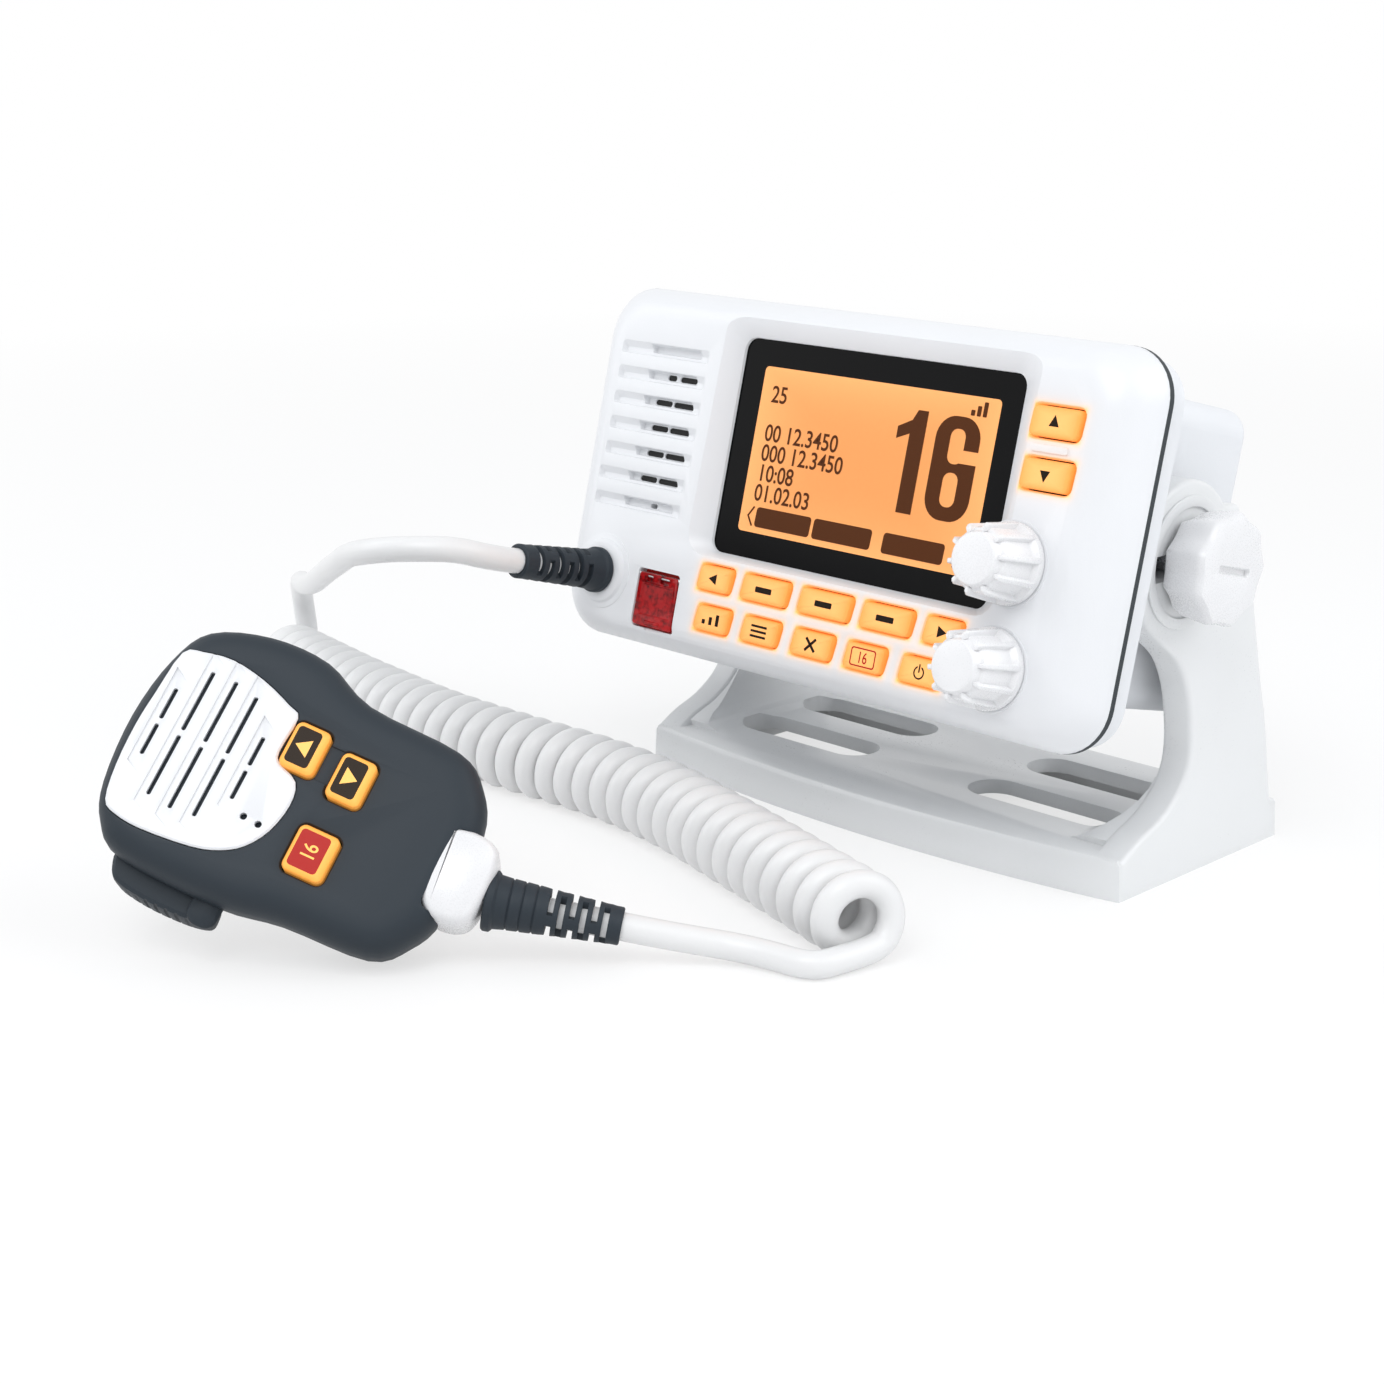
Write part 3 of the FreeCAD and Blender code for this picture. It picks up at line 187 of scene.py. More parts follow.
class NodeShop:
    """The node tree of one material and short ways to fill it."""

    def __init__(self, name: str) -> None:
        """Starts a material with a Principled shader.

        Args:
            name: The material's name.
        """
        self.material = bpy.data.materials.new(name)
        self.material.use_nodes = True
        self.tree = self.material.node_tree
        self.shader = self.tree.nodes["Principled BSDF"]

    def node(self, kind: str, settings: Optional[dict] = None, **inputs: object) -> bpy.types.Node:
        """Adds a node.

        Args:
            kind: The node's type.
            settings: Attributes, such as an operation, which are set first.
            **inputs: Values, sockets or wires for the node's inputs, spaces written as underscores.

        Returns:
            The new node.
        """
        made = self.tree.nodes.new(kind)
        for key, value in (settings or {}).items():
            setattr(made, key, value)
        for key, value in inputs.items():
            self.plug(made.inputs[key.replace("_", " ")], value)
        return made

    def plug(self, socket: bpy.types.NodeSocket, value: object) -> None:
        """Links or writes a value into a socket."""
        if isinstance(value, Wire):
            value.feed(socket)
        elif isinstance(value, bpy.types.NodeSocket):
            self.tree.links.new(value, socket)
        else:
            socket.default_value = value

    def wire(self, value: Union[float, bpy.types.NodeSocket]) -> Wire:
        """Wraps a socket or number for arithmetic."""
        return Wire(self.tree, value)

    def place(self, origin: Matrix) -> bpy.types.NodeSocket:
        """Object coordinates in millimetres of a sub-assembly's own axes.

        Args:
            origin: The sub-assembly's placement, with its scale.

        Returns:
            The vector socket.
        """
        coords = self.node("ShaderNodeTexCoord").outputs["Object"]
        mapping = self.node("ShaderNodeMapping", {"vector_type": "TEXTURE"}, Vector=coords)
        mapping.inputs["Location"].default_value = origin.to_translation()
        mapping.inputs["Rotation"].default_value = origin.to_euler()
        mapping.inputs["Scale"].default_value = (MM, MM, MM)
        return mapping.outputs["Vector"]

    def noise(self, vector: bpy.types.NodeSocket, scale: float, detail: float = 3.0) -> Wire:
        """A noise value at a number of features per millimetre."""
        made = self.node("ShaderNodeTexNoise", Vector=vector, Scale=scale, Detail=detail)
        return self.wire(made.outputs[0])

    def mix(self, factor: Number, first: Sequence[float], second: object) -> bpy.types.NodeSocket:
        """A colour between two colours.

        Args:
            factor: How much of the second colour shows.
            first: The first colour, or a socket.
            second: The second colour, or a socket.

        Returns:
            The colour socket.
        """
        made = self.node("ShaderNodeMix", {"data_type": "RGBA"})
        self.plug(made.inputs[0], factor)
        for socket, colour in ((made.inputs[6], first), (made.inputs[7], second)):
            self.plug(socket, colour if isinstance(colour, bpy.types.NodeSocket) else (*colour, 1.0))
        return made.outputs[2]

    def set(self, name: str, value: object) -> None:
        """Writes or links one input of the Principled shader."""
        self.plug(self.shader.inputs[name], value)

    def bump(self, height: Wire, distance: float, strength: float = 1.0) -> None:
        """Feeds a height in millimetres to the shader's normal."""
        made = self.node("ShaderNodeBump", Strength=strength, Distance=distance * MM, Height=height)
        self.set("Normal", made.outputs["Normal"])


@dataclass(frozen=True)
class Finish:
    """A moulded, painted or machined surface."""

    name: str
    colour: Point3
    roughness: float
    metallic: float = 0.0
    coat: float = 0.0
    grain: float = 3.0
    depth: float = 0.02
    mottle: float = 0.03
    brushed: float = 1.0
    glow: float = 0.0
    shine: float = 0.5

    def dress(self, shop: NodeShop, vector: bpy.types.NodeSocket) -> bpy.types.NodeSocket:
        """Sets colour, roughness and grain.

        Args:
            shop: The material being made.
            vector: Coordinates in millimetres.

        Returns:
            The base colour's socket, before anything is laid over it.
        """
        if self.brushed != 1.0:
            stretch = shop.node("ShaderNodeMapping", Vector=vector)
            stretch.inputs["Scale"].default_value = (1.0, self.brushed, 1.0)
            vector = stretch.outputs["Vector"]
        fine = shop.noise(vector, self.grain, 4.0)
        broad = shop.noise(vector, 0.035, 2.0)
        dark = tuple(part * (1.0 - 2.0 * self.mottle) for part in self.colour)
        colour = shop.mix(broad * 0.7 + fine * 0.3, dark, self.colour)
        shop.set("Base Color", colour)
        shop.set("Roughness", self.roughness + (fine - 0.5) * 0.12 + (broad - 0.5) * 0.06)
        shop.set("Metallic", self.metallic)
        shop.set("Coat Weight", self.coat)
        shop.set("Specular IOR Level", self.shine)
        shop.bump(fine, self.depth)
        return colour

    def material(self, origin: Optional[Matrix] = None) -> bpy.types.Material:
        """Makes the material.

        Args:
            origin: The axes that the grain follows, or None for the object's own.

        Returns:
            The material.
        """
        shop = NodeShop(self.name)
        colour = self.dress(shop, shop.place(origin or Matrix.Scale(MM, 4)))
        if self.glow:
            shop.set("Emission Color", colour)
            shop.set("Emission Strength", self.glow)
        return shop.material


WHITE = (0.79, 0.80, 0.82)
PALE_AMBER = (0.98, 0.47, 0.15)
INK = (0.012, 0.007, 0.004)

CASE = Finish("case_white", (0.77, 0.785, 0.81), 0.42, grain=2.2, depth=0.03)
BRACKET = Finish("bracket_white", (0.79, 0.80, 0.805), 0.30, coat=0.15, grain=1.6, depth=0.012)
MOULDING = Finish("white_moulding", WHITE, 0.34, grain=3.0, depth=0.015)
KNOB = Finish("knob_white", (0.81, 0.81, 0.82), 0.28, coat=0.1, grain=3.0, depth=0.01)
JACKET = Finish("cord_jacket", (0.80, 0.80, 0.80), 0.38, coat=0.1, grain=1.5, depth=0.012, mottle=0.04)
DARK_RUBBER = Finish("dark_rubber", (0.022, 0.031, 0.041), 0.55, grain=4.0, depth=0.02, mottle=0.10, shine=0.3)
SEAL = Finish("seal_rubber", (0.020, 0.028, 0.034), 0.6, grain=3.0, mottle=0.1)
STEEL = Finish("stainless", (0.60, 0.60, 0.61), 0.28, metallic=1.0, grain=1.2, brushed=14.0, mottle=0.05)
BRASS = Finish("turned_brass", (0.72, 0.50, 0.20), 0.3, metallic=1.0, grain=1.2, brushed=10.0, mottle=0.06)
NICKEL = Finish("nickel", (0.72, 0.70, 0.66), 0.2, metallic=1.0, grain=1.0, mottle=0.05)
ALUMINIUM = Finish("coated_aluminium", (0.74, 0.75, 0.77), 0.45, metallic=0.25, grain=2.0, brushed=6.0)
BOARD = Finish("solder_mask", (0.01, 0.12, 0.05), 0.35, coat=0.4, grain=1.0, mottle=0.2)
BLACK = Finish("black_moulding", (0.012, 0.012, 0.013), 0.45, grain=3.0, mottle=0.1)
PAPER = Finish("speaker_cone", (0.02, 0.02, 0.02), 0.8, grain=2.0, depth=0.05, mottle=0.2)
GLASS = Finish("window_black", (0.0015, 0.0016, 0.002), 0.12, grain=0.2, depth=0.0, shine=0.06)
PRINT = Finish("black_print", INK, 0.5, grain=2.0, depth=0.0, shine=0.1)
GLYPH = Finish("lit_glyph", (1.0, 0.50, 0.10), 0.4, grain=2.0, depth=0.0, glow=0.30)
RED_CAP = Finish("red_cap", (0.40, 0.010, 0.006), 0.35, grain=2.0, depth=0.0, glow=0.15, shine=0.2)
DARK_CAP = Finish("smoked_cap", (0.018, 0.009, 0.003), 0.3, grain=2.0, depth=0.0, shine=0.12)
SCREEN_INK = Finish("screen_ink", (0.085, 0.024, 0.005), 0.5, grain=2.0, depth=0.0, mottle=0.12, glow=0.1, shine=0.1)
# Near-black for the sheets behind slits that stand in for the shade inside: painted shade.
DARK = Finish("painted_shade_black", (0.004, 0.004, 0.004), 0.9, grain=1.0)


@dataclass(frozen=True)
class Lit:
    """A lit amber surface, brighter towards its rim or across it."""

    name: str
    centre: Point2
    half: Point2
    inner: Point3
    rim: Point3
    power: float

    def material(self, origin: Matrix) -> bpy.types.Material:
        """Makes the material.

        Args:
            origin: The axes that the centre is given in.

        Returns:
            The material.
        """
        shop = NodeShop(self.name)
        vector = shop.place(origin)
        axes = shop.node("ShaderNodeSeparateXYZ", Vector=vector)
        across = abs(shop.wire(axes.outputs[0]) - self.centre[0]) / self.half[0]
        up = abs(shop.wire(axes.outputs[1]) - self.centre[1]) / self.half[1]
        edge = across.most(up).least(1.0) ** 3.0
        colour = shop.mix(edge * 0.85 + shop.noise(vector, 0.9) * 0.12, self.inner, self.rim)
        shop.set("Base Color", colour)
        shop.set("Emission Color", colour)
        shop.set("Emission Strength", self.power)
        shop.set("Roughness", 0.42 + (shop.noise(vector, 3.0) - 0.5) * 0.1)
        shop.set("Specular IOR Level", 0.2)
        shop.bump(shop.noise(vector, 4.0), 0.01)
        return shop.material


@dataclass(frozen=True)
class RedClear:
    """Tinted clear plastic over darker works, with a faint painted glow of its own red."""

    name: str = "red_clear"

    def material(self, origin: Matrix) -> bpy.types.Material:
        """Makes the material.

        Args:
            origin: The axes of the panel.

        Returns:
            The material.
        """
        shop = NodeShop(self.name)
        vector = shop.place(origin)
        axes = shop.node("ShaderNodeSeparateXYZ", Vector=vector)
        lift = (shop.wire(axes.outputs[1]) + 43.0) / 15.0
        depth = shop.noise(vector, 0.35, 2.0)
        bands = (shop.noise(vector, 0.8) + depth - 0.9).most(0.0) * 2.0
        colour = shop.mix((bands + lift * 0.35).least(1.0), (0.40, 0.006, 0.008), (0.06, 0.0, 0.001))
        shop.set("Base Color", colour)
        # The lid and button glow faintly in their own red though they hold no lamp: painted light.
        shop.set("Emission Color", colour)
        shop.set("Emission Strength", 0.12)
        shop.set("Roughness", 0.16 + depth * 0.1)
        shop.set("Specular IOR Level", 0.25)
        return shop.material


class Bench:
    """Modelling tools used as by hand, on one object at a time."""

    @staticmethod
    def only(obj: bpy.types.Object) -> bpy.types.Object:
        """Selects one object and makes it active."""
        bpy.ops.object.select_all(action="DESELECT")
        obj.select_set(True)
        bpy.context.view_layer.objects.active = obj
        return obj

    @classmethod
    def fresh(cls, name: str) -> bpy.types.Object:
        """Names the primitive that was just added."""
        obj = bpy.context.view_layer.objects.active
        obj.name = name
        return cls.only(obj)

    @classmethod
    def apply(cls, obj: bpy.types.Object, kind: str, **settings: object) -> bpy.types.Object:
        """Adds a modifier and applies it.

        Args:
            obj: The object.
            kind: The modifier's type.
            **settings: Its attributes.

        Returns:
            The object.
        """
        cls.only(obj)
        modifier = obj.modifiers.new(kind.lower(), kind)
        for key, value in settings.items():
            setattr(modifier, key, value)
        bpy.ops.object.modifier_apply(modifier=modifier.name)
        return obj

    @classmethod
    def outward(cls, obj: bpy.types.Object, merge: float = 0.0005) -> bpy.types.Object:
        """Merges doubles and turns the faces of a closed mesh outwards."""
        cls.only(obj)
        bpy.ops.object.mode_set(mode="EDIT")
        bpy.ops.mesh.select_all(action="SELECT")
        bpy.ops.mesh.remove_doubles(threshold=merge)
        bpy.ops.mesh.normals_make_consistent(inside=False)
        bpy.ops.object.mode_set(mode="OBJECT")
        return obj

    @classmethod
    def slab(cls, name: str, outline: Sequence[Point2], low: float, high: float,
             top: Optional[Sequence[Point2]] = None) -> bpy.types.Object:
        """A flat-ended block that stands on an outline.

        Args:
            name: The object's name.
            outline: The corners, in order.
            low: The height of the lower end.
            high: The height of the upper end.
            top: The corners of the upper end, if they differ.

        Returns:
            The block.
        """
        return cls.loft(name, [(low, outline), (high, top or outline)])

    @classmethod
    def loft(cls, name: str, levels: Sequence[tuple[float, Sequence[Point2]]]) -> bpy.types.Object:
        """A closed form through outlines of the same number of corners at rising heights.

        Args:
            name: The object's name.
            levels: Height and corners of each level.

        Returns:
            The form.
        """
        count = len(levels[0][1])
        bpy.ops.object.select_all(action="DESELECT")
        bpy.ops.mesh.primitive_circle_add(vertices=count, radius=1.0, fill_type="NGON")
        obj = cls.fresh(name)
        for _ in levels[1:]:
            bpy.ops.object.mode_set(mode="EDIT")
            bpy.ops.mesh.extrude_region_move(TRANSFORM_OT_translate={"value": (0, 0, 1)})
            bpy.ops.object.mode_set(mode="OBJECT")
        for level, (height, corners) in enumerate(levels):
            for i, (x, y) in enumerate(corners):
                obj.data.vertices[level * count + i].co = (x, y, height)
        return cls.outward(obj, 1e-6)

    @classmethod
    def turned(cls, name: str, profile: Sequence[Point2], steps: int = 64) -> bpy.types.Object:
        """A form turned round Z from a profile of radius and height.

        Args:
            name: The object's name.
            profile: The corners; a profile that ends off the axis closes on its first corner.
            steps: How many facets it has.

        Returns:
            The form.
        """
        bpy.ops.object.select_all(action="DESELECT")
        bpy.ops.mesh.primitive_circle_add(vertices=len(profile), radius=1.0, fill_type="NOTHING")
        obj = cls.fresh(name)
        for vertex, (radius, height) in zip(obj.data.vertices, profile):
            vertex.co = (radius, 0, height)
        cls.apply(obj, "SCREW", steps=steps, render_steps=steps, axis="Z", use_merge_vertices=True,
                  merge_threshold=1e-5)
        return cls.outward(obj, 1e-4)

    @classmethod
    def carve(cls, obj: bpy.types.Object, *tools: bpy.types.Object, keep: str = "DIFFERENCE") -> bpy.types.Object:
        """Cuts tools out of an object, or joins them to it, and removes them.

        Args:
            obj: The object.
            *tools: The closed forms.
            keep: The boolean's operation.

        Returns:
            The object.
        """
        for tool in tools:
            cls.apply(obj, "BOOLEAN", operation=keep, solver="EXACT", object=tool)
            bpy.data.objects.remove(tool)
        return obj

    @classmethod
    def bevel(cls, obj: bpy.types.Object, width: float, segments: int = 3, angle: float = 35.0) -> bpy.types.Object:
        """Rounds the sharp edges of an object."""
        return cls.apply(obj, "BEVEL", width=width, segments=segments, limit_method="ANGLE",
                         angle_limit=math.radians(angle), use_clamp_overlap=True, miter_outer="MITER_ARC")

    @classmethod
    def smooth(cls, obj: bpy.types.Object, angle: float = 32.0) -> bpy.types.Object:
        """Shades smooth, except over sharper edges."""
        cls.only(obj)
        bpy.ops.object.shade_smooth_by_angle(angle=math.radians(angle))
        return obj

    @classmethod
    def join(cls, name: str, parts: Sequence[bpy.types.Object]) -> bpy.types.Object:
        """Makes one object of several."""
        bpy.ops.object.select_all(action="DESELECT")
        for part in parts:
            part.select_set(True)
        bpy.context.view_layer.objects.active = parts[0]
        if len(parts) > 1:
            bpy.ops.object.join()
        return cls.fresh(name)

    @classmethod
    def crossed(cls, head: bpy.types.Object, arm: bpy.types.Object) -> bpy.types.Object:
        """Cuts the form of one arm into a screw's head twice, a quarter turn apart."""
        return cls.carve(head, *cls.copies(arm, [Matrix.Rotation(turn, 4, "Z") for turn in (0, math.pi / 2)]))

    @classmethod
    def shift(cls, obj: bpy.types.Object, x: float, y: float, z: float = 0.0) -> bpy.types.Object:
        """Moves an object's mesh and leaves its origin."""
        obj.data.transform(Matrix.Translation((x, y, z)))
        return obj

    @classmethod
    def copies(cls, obj: bpy.types.Object, places: Iterable[Matrix]) -> list[bpy.types.Object]:
        """Copies an object, each copy with its own mesh, and removes the first one."""
        made = []
        for place in places:
            twin = obj.copy()
            twin.data = obj.data.copy()
            twin.data.transform(place)
            bpy.context.scene.collection.objects.link(twin)
            made.append(twin)
        bpy.data.objects.remove(obj)
        return made

    @classmethod
    def digits(cls, name: str, text: str, height: float, width: float = 1.0, bold: float = 0.0) -> bpy.types.Object:
        """Flat figures as a mesh, from the origin to the right.

        Args:
            name: The object's name.
            text: The figures.
            height: Their height.
            width: Their width, as a share of what the font has.
            bold: How much thicker the strokes are, as a share of the height.

        Returns:
            The mesh, without thickness.
        """
        bpy.ops.object.select_all(action="DESELECT")
        bpy.ops.object.text_add()
        obj = cls.fresh(name)
        obj.data.body = text
        obj.data.size = height / 0.72
        obj.data.offset = bold * height
        obj.data.fill_mode = "FRONT"
        bpy.ops.object.convert(target="MESH")
        obj = cls.fresh(name)
        obj.data.transform(Matrix.Diagonal((width, 1, 1, 1)))
        return obj


def piece(obj: bpy.types.Object, name: str, body: Union[Body, str], material: bpy.types.Material,
          place: Optional[Matrix] = None, nodes: Sequence[str] = (),
          angle: float = 32.0) -> bpy.types.Object:
    """Places, dresses and hands over a finished piece.

    Args:
        obj: The mesh object, in its sub-assembly's axes.
        name: The piece's name.
        body: The body that it rides on.
        material: Its material.
        place: Its sub-assembly's placement.
        nodes: The solids that it stands for.
        angle: The least angle of an edge that stays sharp in its shading.

    Returns:
        The piece.
    """
    Bench.smooth(obj, angle)
    if place is not None:
        obj.data.transform(place)
    obj.name = name
    obj.data.name = name
    obj.data.materials.clear()
    obj.data.materials.append(material)
    for polygon in obj.data.polygons:
        polygon.material_index = 0
    rides_on = body.value if isinstance(body, Body) else body
    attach(obj, rides_on)
    if nodes:
        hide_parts(*nodes)
    LOG.info("%s rides on %s", name, rides_on)
    return obj


def rounded(wide: float, tall: float, radius: float, at: Point2 = (0.0, 0.0), steps: int = 5,
            slant: float = 0.0) -> list[Point2]:
    """A rectangle with round corners.

    Args:
        wide: Its width.
        tall: Its height.
        radius: Its corners' radius.
        at: Its middle.
        steps: Points in each corner.
        slant: How far each unit of height shifts it sideways.

    Returns:
        Its corners, anticlockwise.
    """
    points = []
    for quarter, (sx, sy) in enumerate(((1, 1), (-1, 1), (-1, -1), (1, -1))):
        for i in range(steps + 1):
            angle = (quarter + i / steps) * math.pi / 2
            x = sx * (wide / 2 - radius) + radius * math.cos(angle)
            y = sy * (tall / 2 - radius) + radius * math.sin(angle)
            points.append((at[0] + x + slant * y, at[1] + y))
    return points


def between(a: Vector, b: Vector, c: Vector, d: Vector, t: float) -> Vector:
    """The spot a share t of the way from b to c on the smooth curve through four points."""
    return 0.5 * (2 * b + (c - a) * t + (2 * a - 5 * b + 4 * c - d) * t ** 2
                  + (3 * b - a - 3 * c + d) * t ** 3)


def smoothed(corners: Sequence[Point2], steps: int = 4) -> list[Point2]:
    """A closed smooth curve through corners.

    Args:
        corners: The points it passes through.
        steps: Points for each corner.

    Returns:
        The curve's points.
    """
    count = len(corners)
    points = []
    for i in range(count):
        near = [Vector(corners[(i + k) % count]) for k in (-1, 0, 1, 2)]
        points += [tuple(between(*near, j / steps)) for j in range(steps)]
    return points


def inset(points: Sequence[Point2], amount: float) -> list[Point2]:
    """Draws a closed anticlockwise or clockwise outline in, or out if the amount is negative."""
    count = len(points)
    area = sum(points[i - 1][0] * points[i][1] - points[i][0] * points[i - 1][1] for i in range(count))
    sign = 1.0 if area > 0 else -1.0
    moved = []
    for i in range(count):
        before, here, after = Vector(points[i - 1]), Vector(points[i]), Vector(points[(i + 1) % count])
        along = (after - before).normalized()
        moved.append(tuple(here + Vector((-along.y, along.x)) * sign * amount))
    return moved


def flat(points: Sequence[Point2], name: str, height: float, thick: float = 0.06) -> bpy.types.Object:
    """A thin printed shape on a face."""
    return Bench.slab(name, points, height, height + thick)


@dataclass
class Key:
    """One rubber key of the panel."""

    name: str
    at: Point2
    wide: float
    tall: float = 6.6
    mark: str = ""
    slant: float = 0.14


@dataclass
class Panel:
    """The radio's front: bezel, window, screen, keys, knobs and distress lid."""

    wide: float = 183.0
    tall: float = 96.6
    shift: float = 1.5
    drop: float = 0.7
    corner: float = 13.0
    face: float = 49.3
    back: float = 36.3
    draft: float = 3.7
    window: Point2 = (90.7, 55.7)
    window_at: Point2 = (13.5, 9.0)
    window_depth: float = 44.6
    screen: Point2 = (77.1, 43.0)
    screen_at: Point2 = (13.95, 9.0)
    louvre_left: float = -74.1
    louvre_long: float = 33.5
    louvre_top: float = 30.4
    louvre_pitch: float = 6.9
    louvre_tall: float = 4.0
    lid: Point2 = (14.6, 14.8)
    lid_at: Point2 = (-45.4, -35.4)
    gland_at: Point2 = (-67.0, -30.8)
    gland_round: float = 8.6
    gland_proud: float = 1.6
    knob_across: float = 67.0
    knob_heights: tuple[float, float] = (-6.9, -32.0)
    key_front: float = 50.2
    EDGE: ClassVar[tuple[tuple[float, ...], ...]] = (
        (0.0, 0.0, 0.0, 0.0), (1.5, 0.7, 0.3, 0.3), (4.0, 2.6, 1.1, 0.9), (7.0, 5.3, 2.5, 1.9), (9.5, 7.8, 4.3, 3.1),
        (11.3, 10.0, 6.3, 4.6), (12.3, 11.6, 8.2, 6.0), (12.85, 13.0, 10.0, 7.4), (13.0, 14.2, 11.6, 8.8))
    keys: list[Key] = field(default_factory=lambda: [
        Key("key_left", (-24.8, -26.2), 11.6, mark="left"), Key("key_soft_one", (-7.0, -26.2), 16.0, mark="dash"),
        Key("key_soft_two", (13.5, -26.2), 17.0, mark="dash"), Key("key_soft_three", (33.7, -26.2), 16.0, mark="dash"),
        Key("key_right", (51.3, -26.2), 11.0, mark="right"), Key("key_output", (-23.4, -36.7), 12.0, mark="bars"),
        Key("key_menu", (-6.2, -36.7), 12.6, mark="lines"), Key("key_clear", (11.7, -36.7), 13.3, mark="cross"),
        Key("key_calling", (29.1, -36.7), 12.4, mark=CALLING), Key("key_power", (47.0, -36.7), 12.6, mark="power"),
        Key("key_up", (72.4, 26.9), 14.0, 7.2, "up", 0.06), Key("key_down", (72.4, 14.6), 14.0, 7.2, "down", 0.06)])
    place: Matrix = field(default_factory=STANCE.panel)

    def build(self) -> None:
        """Builds and dresses the whole front."""
        self.bezel()
        self.glass()
        self.figures()
        for key in self.keys:
            self.key(key)
        for name, height in zip(("channel", "volume"), self.knob_heights):
            self.knob(name, height)
        self.distress()

    def bezel_material(self) -> bpy.types.Material:
        """White moulding with the keys' amber light spilt round their openings."""
        shop = NodeShop("bezel_white")
        vector = shop.place(self.place)
        colour = MOULDING.dress(shop, vector)
        axes = shop.node("ShaderNodeSeparateXYZ", Vector=vector)
        up = shop.wire(axes.outputs[1])
        glow = shop.wire(0.0)
        for key in self.keys:
            across = shop.wire(axes.outputs[0]) - key.at[0] - (up - key.at[1]) * key.slant
            off_x = (abs(across) - key.wide / 2).most(0.0)
            off_y = (abs(up - key.at[1]) - key.tall / 2).most(0.0)
            glow = glow + 1.0 / (1.0 + (off_x * off_x + off_y * off_y) / 1.1) ** 1.7
        glow = glow.least(1.0) * shop.wire(axes.outputs[2]).over(self.face - 3.0)
        shop.set("Base Color", shop.mix(glow, colour, (1.0, 0.52, 0.18)))
        shop.set("Emission Color", shop.mix(glow, (0.0, 0.0, 0.0), (1.0, 0.42, 0.10)))
        shop.set("Emission Strength", 0.45)
        return shop.material

    def bezel(self) -> None:
        """The bezel: a drafted tray with a sloping recess, openings, louvres and the cord's boss."""
        levels = []
        for up, west, east, down in self.EDGE:
            middle = (self.shift + (west - east) / 2, -self.drop)
            levels.append((self.back + up, rounded(self.wide - west - east, self.tall - 2 * down,
                                                   self.corner - 0.25 * down, middle, 10)))
        body = Bench.loft("front_bezel", levels)
        well = Bench.slab("well", rounded(self.wide - 22, self.tall - 14, 7, (self.shift, -self.drop)), self.back - 1,
                          self.face - 7.0)
        boss_profile = [(0.0, self.face - 3), (self.gland_round + 2.2, self.face - 3),
                        (self.gland_round + 1.6, self.face + 0.25), (self.gland_round + 0.2, self.face + 0.4),
                        (self.gland_round - 0.2, self.face + 1.2),
                        (self.gland_round - 1.0, self.face + self.gland_proud), (0.0, self.face + self.gland_proud)]
        boss = Bench.turned("boss", boss_profile)
        Bench.shift(boss, *self.gland_at)
        Bench.carve(body, boss, keep="UNION")
        win = rounded(self.window[0], self.window[1], 3.0, self.window_at, 6)
        rim = rounded(self.window[0] + 11.5, self.window[1] + 9.0, 6.0,
                      (self.window_at[0] + 0.6, self.window_at[1] + 2.6), 6, 0.02)
        tools = [well, Bench.loft("recess", [(self.window_depth - 0.02, inset(win, -0.4)),
                                             (self.window_depth + 0.8, inset(win, -0.5)), (self.face + 0.02, rim),
                                             (self.face + 1.0, inset(rim, -1.2))]),
                 Bench.slab("window_hole", win, self.back, self.face + 1)]
        for key in self.keys:
            hole = rounded(key.wide + 0.7, key.tall + 0.7, 1.8, key.at, 4, key.slant)
            tools.append(Bench.loft("key_hole", [(self.back, hole), (self.face - 0.7, hole),
                                                 (self.face + 0.3, inset(hole, -0.7))]))
        tools.append(Bench.slab("lid_seat", rounded(self.lid[0] + 1.0, self.lid[1] + 1.0, 1.0, self.lid_at),
                                self.back, self.face + 1))
        notch = rounded(9.0, 6.0, 2.5, (self.lid_at[0], self.lid_at[1] - self.lid[1] / 2), 5)
        tools.append(Bench.loft("lid_notch", [(self.face - 1.6, inset(notch, 1.2)), (self.face + 0.5, notch)]))
        tools += self.louvre_tools()
        tools.append(Bench.slab("gland_hole", rounded(7.2, 7.2, 3.5, self.gland_at), self.back, self.face + 3))
        for height in self.knob_heights:
            tools.append(Bench.slab("bush_hole", rounded(9.2, 9.2, 4.5, (self.knob_across, height)), self.back,
                                    self.face + 1))
        Bench.carve(body, *tools)
        bar = Bench.loft("divider", [(self.face - 1, rounded(11, 2.4, 0.6, (72.0, 20.7), 3)),
                                     (self.face + 0.5, rounded(10.2, 1.7, 0.5, (72.0, 20.7), 3))])
        Bench.carve(body, bar, keep="UNION")
        Bench.bevel(body, 0.28, 2, 28.0)
        piece(body, "bezel_moulding", Body.RADIO, self.bezel_material(), self.place,
              ["front_bezel"], 40.0)
        # A near-black sheet behind the louvre slits: painted shade for the dark inside of the radio.
        sheet = rounded(37, 50, 2, (self.louvre_left + 17.5, 9.5))
        shade_sheet = Bench.slab("shade_sheet", sheet, self.face - 7.6, self.face - 7.1)
        piece(shade_sheet, "speaker_shade_sheet", Body.RADIO, DARK.material(), self.place)
        for height in self.knob_heights:
            ring = Bench.turned("ring", [(4.7, self.face - 0.4), (10.6, self.face - 0.4), (10.4, self.face + 0.22),
                                         (4.7, self.face + 0.22)])
            Bench.shift(ring, self.knob_across, height)
            piece(ring, "knob_seat_%d" % abs(height), Body.RADIO, MOULDING.material(), self.place)

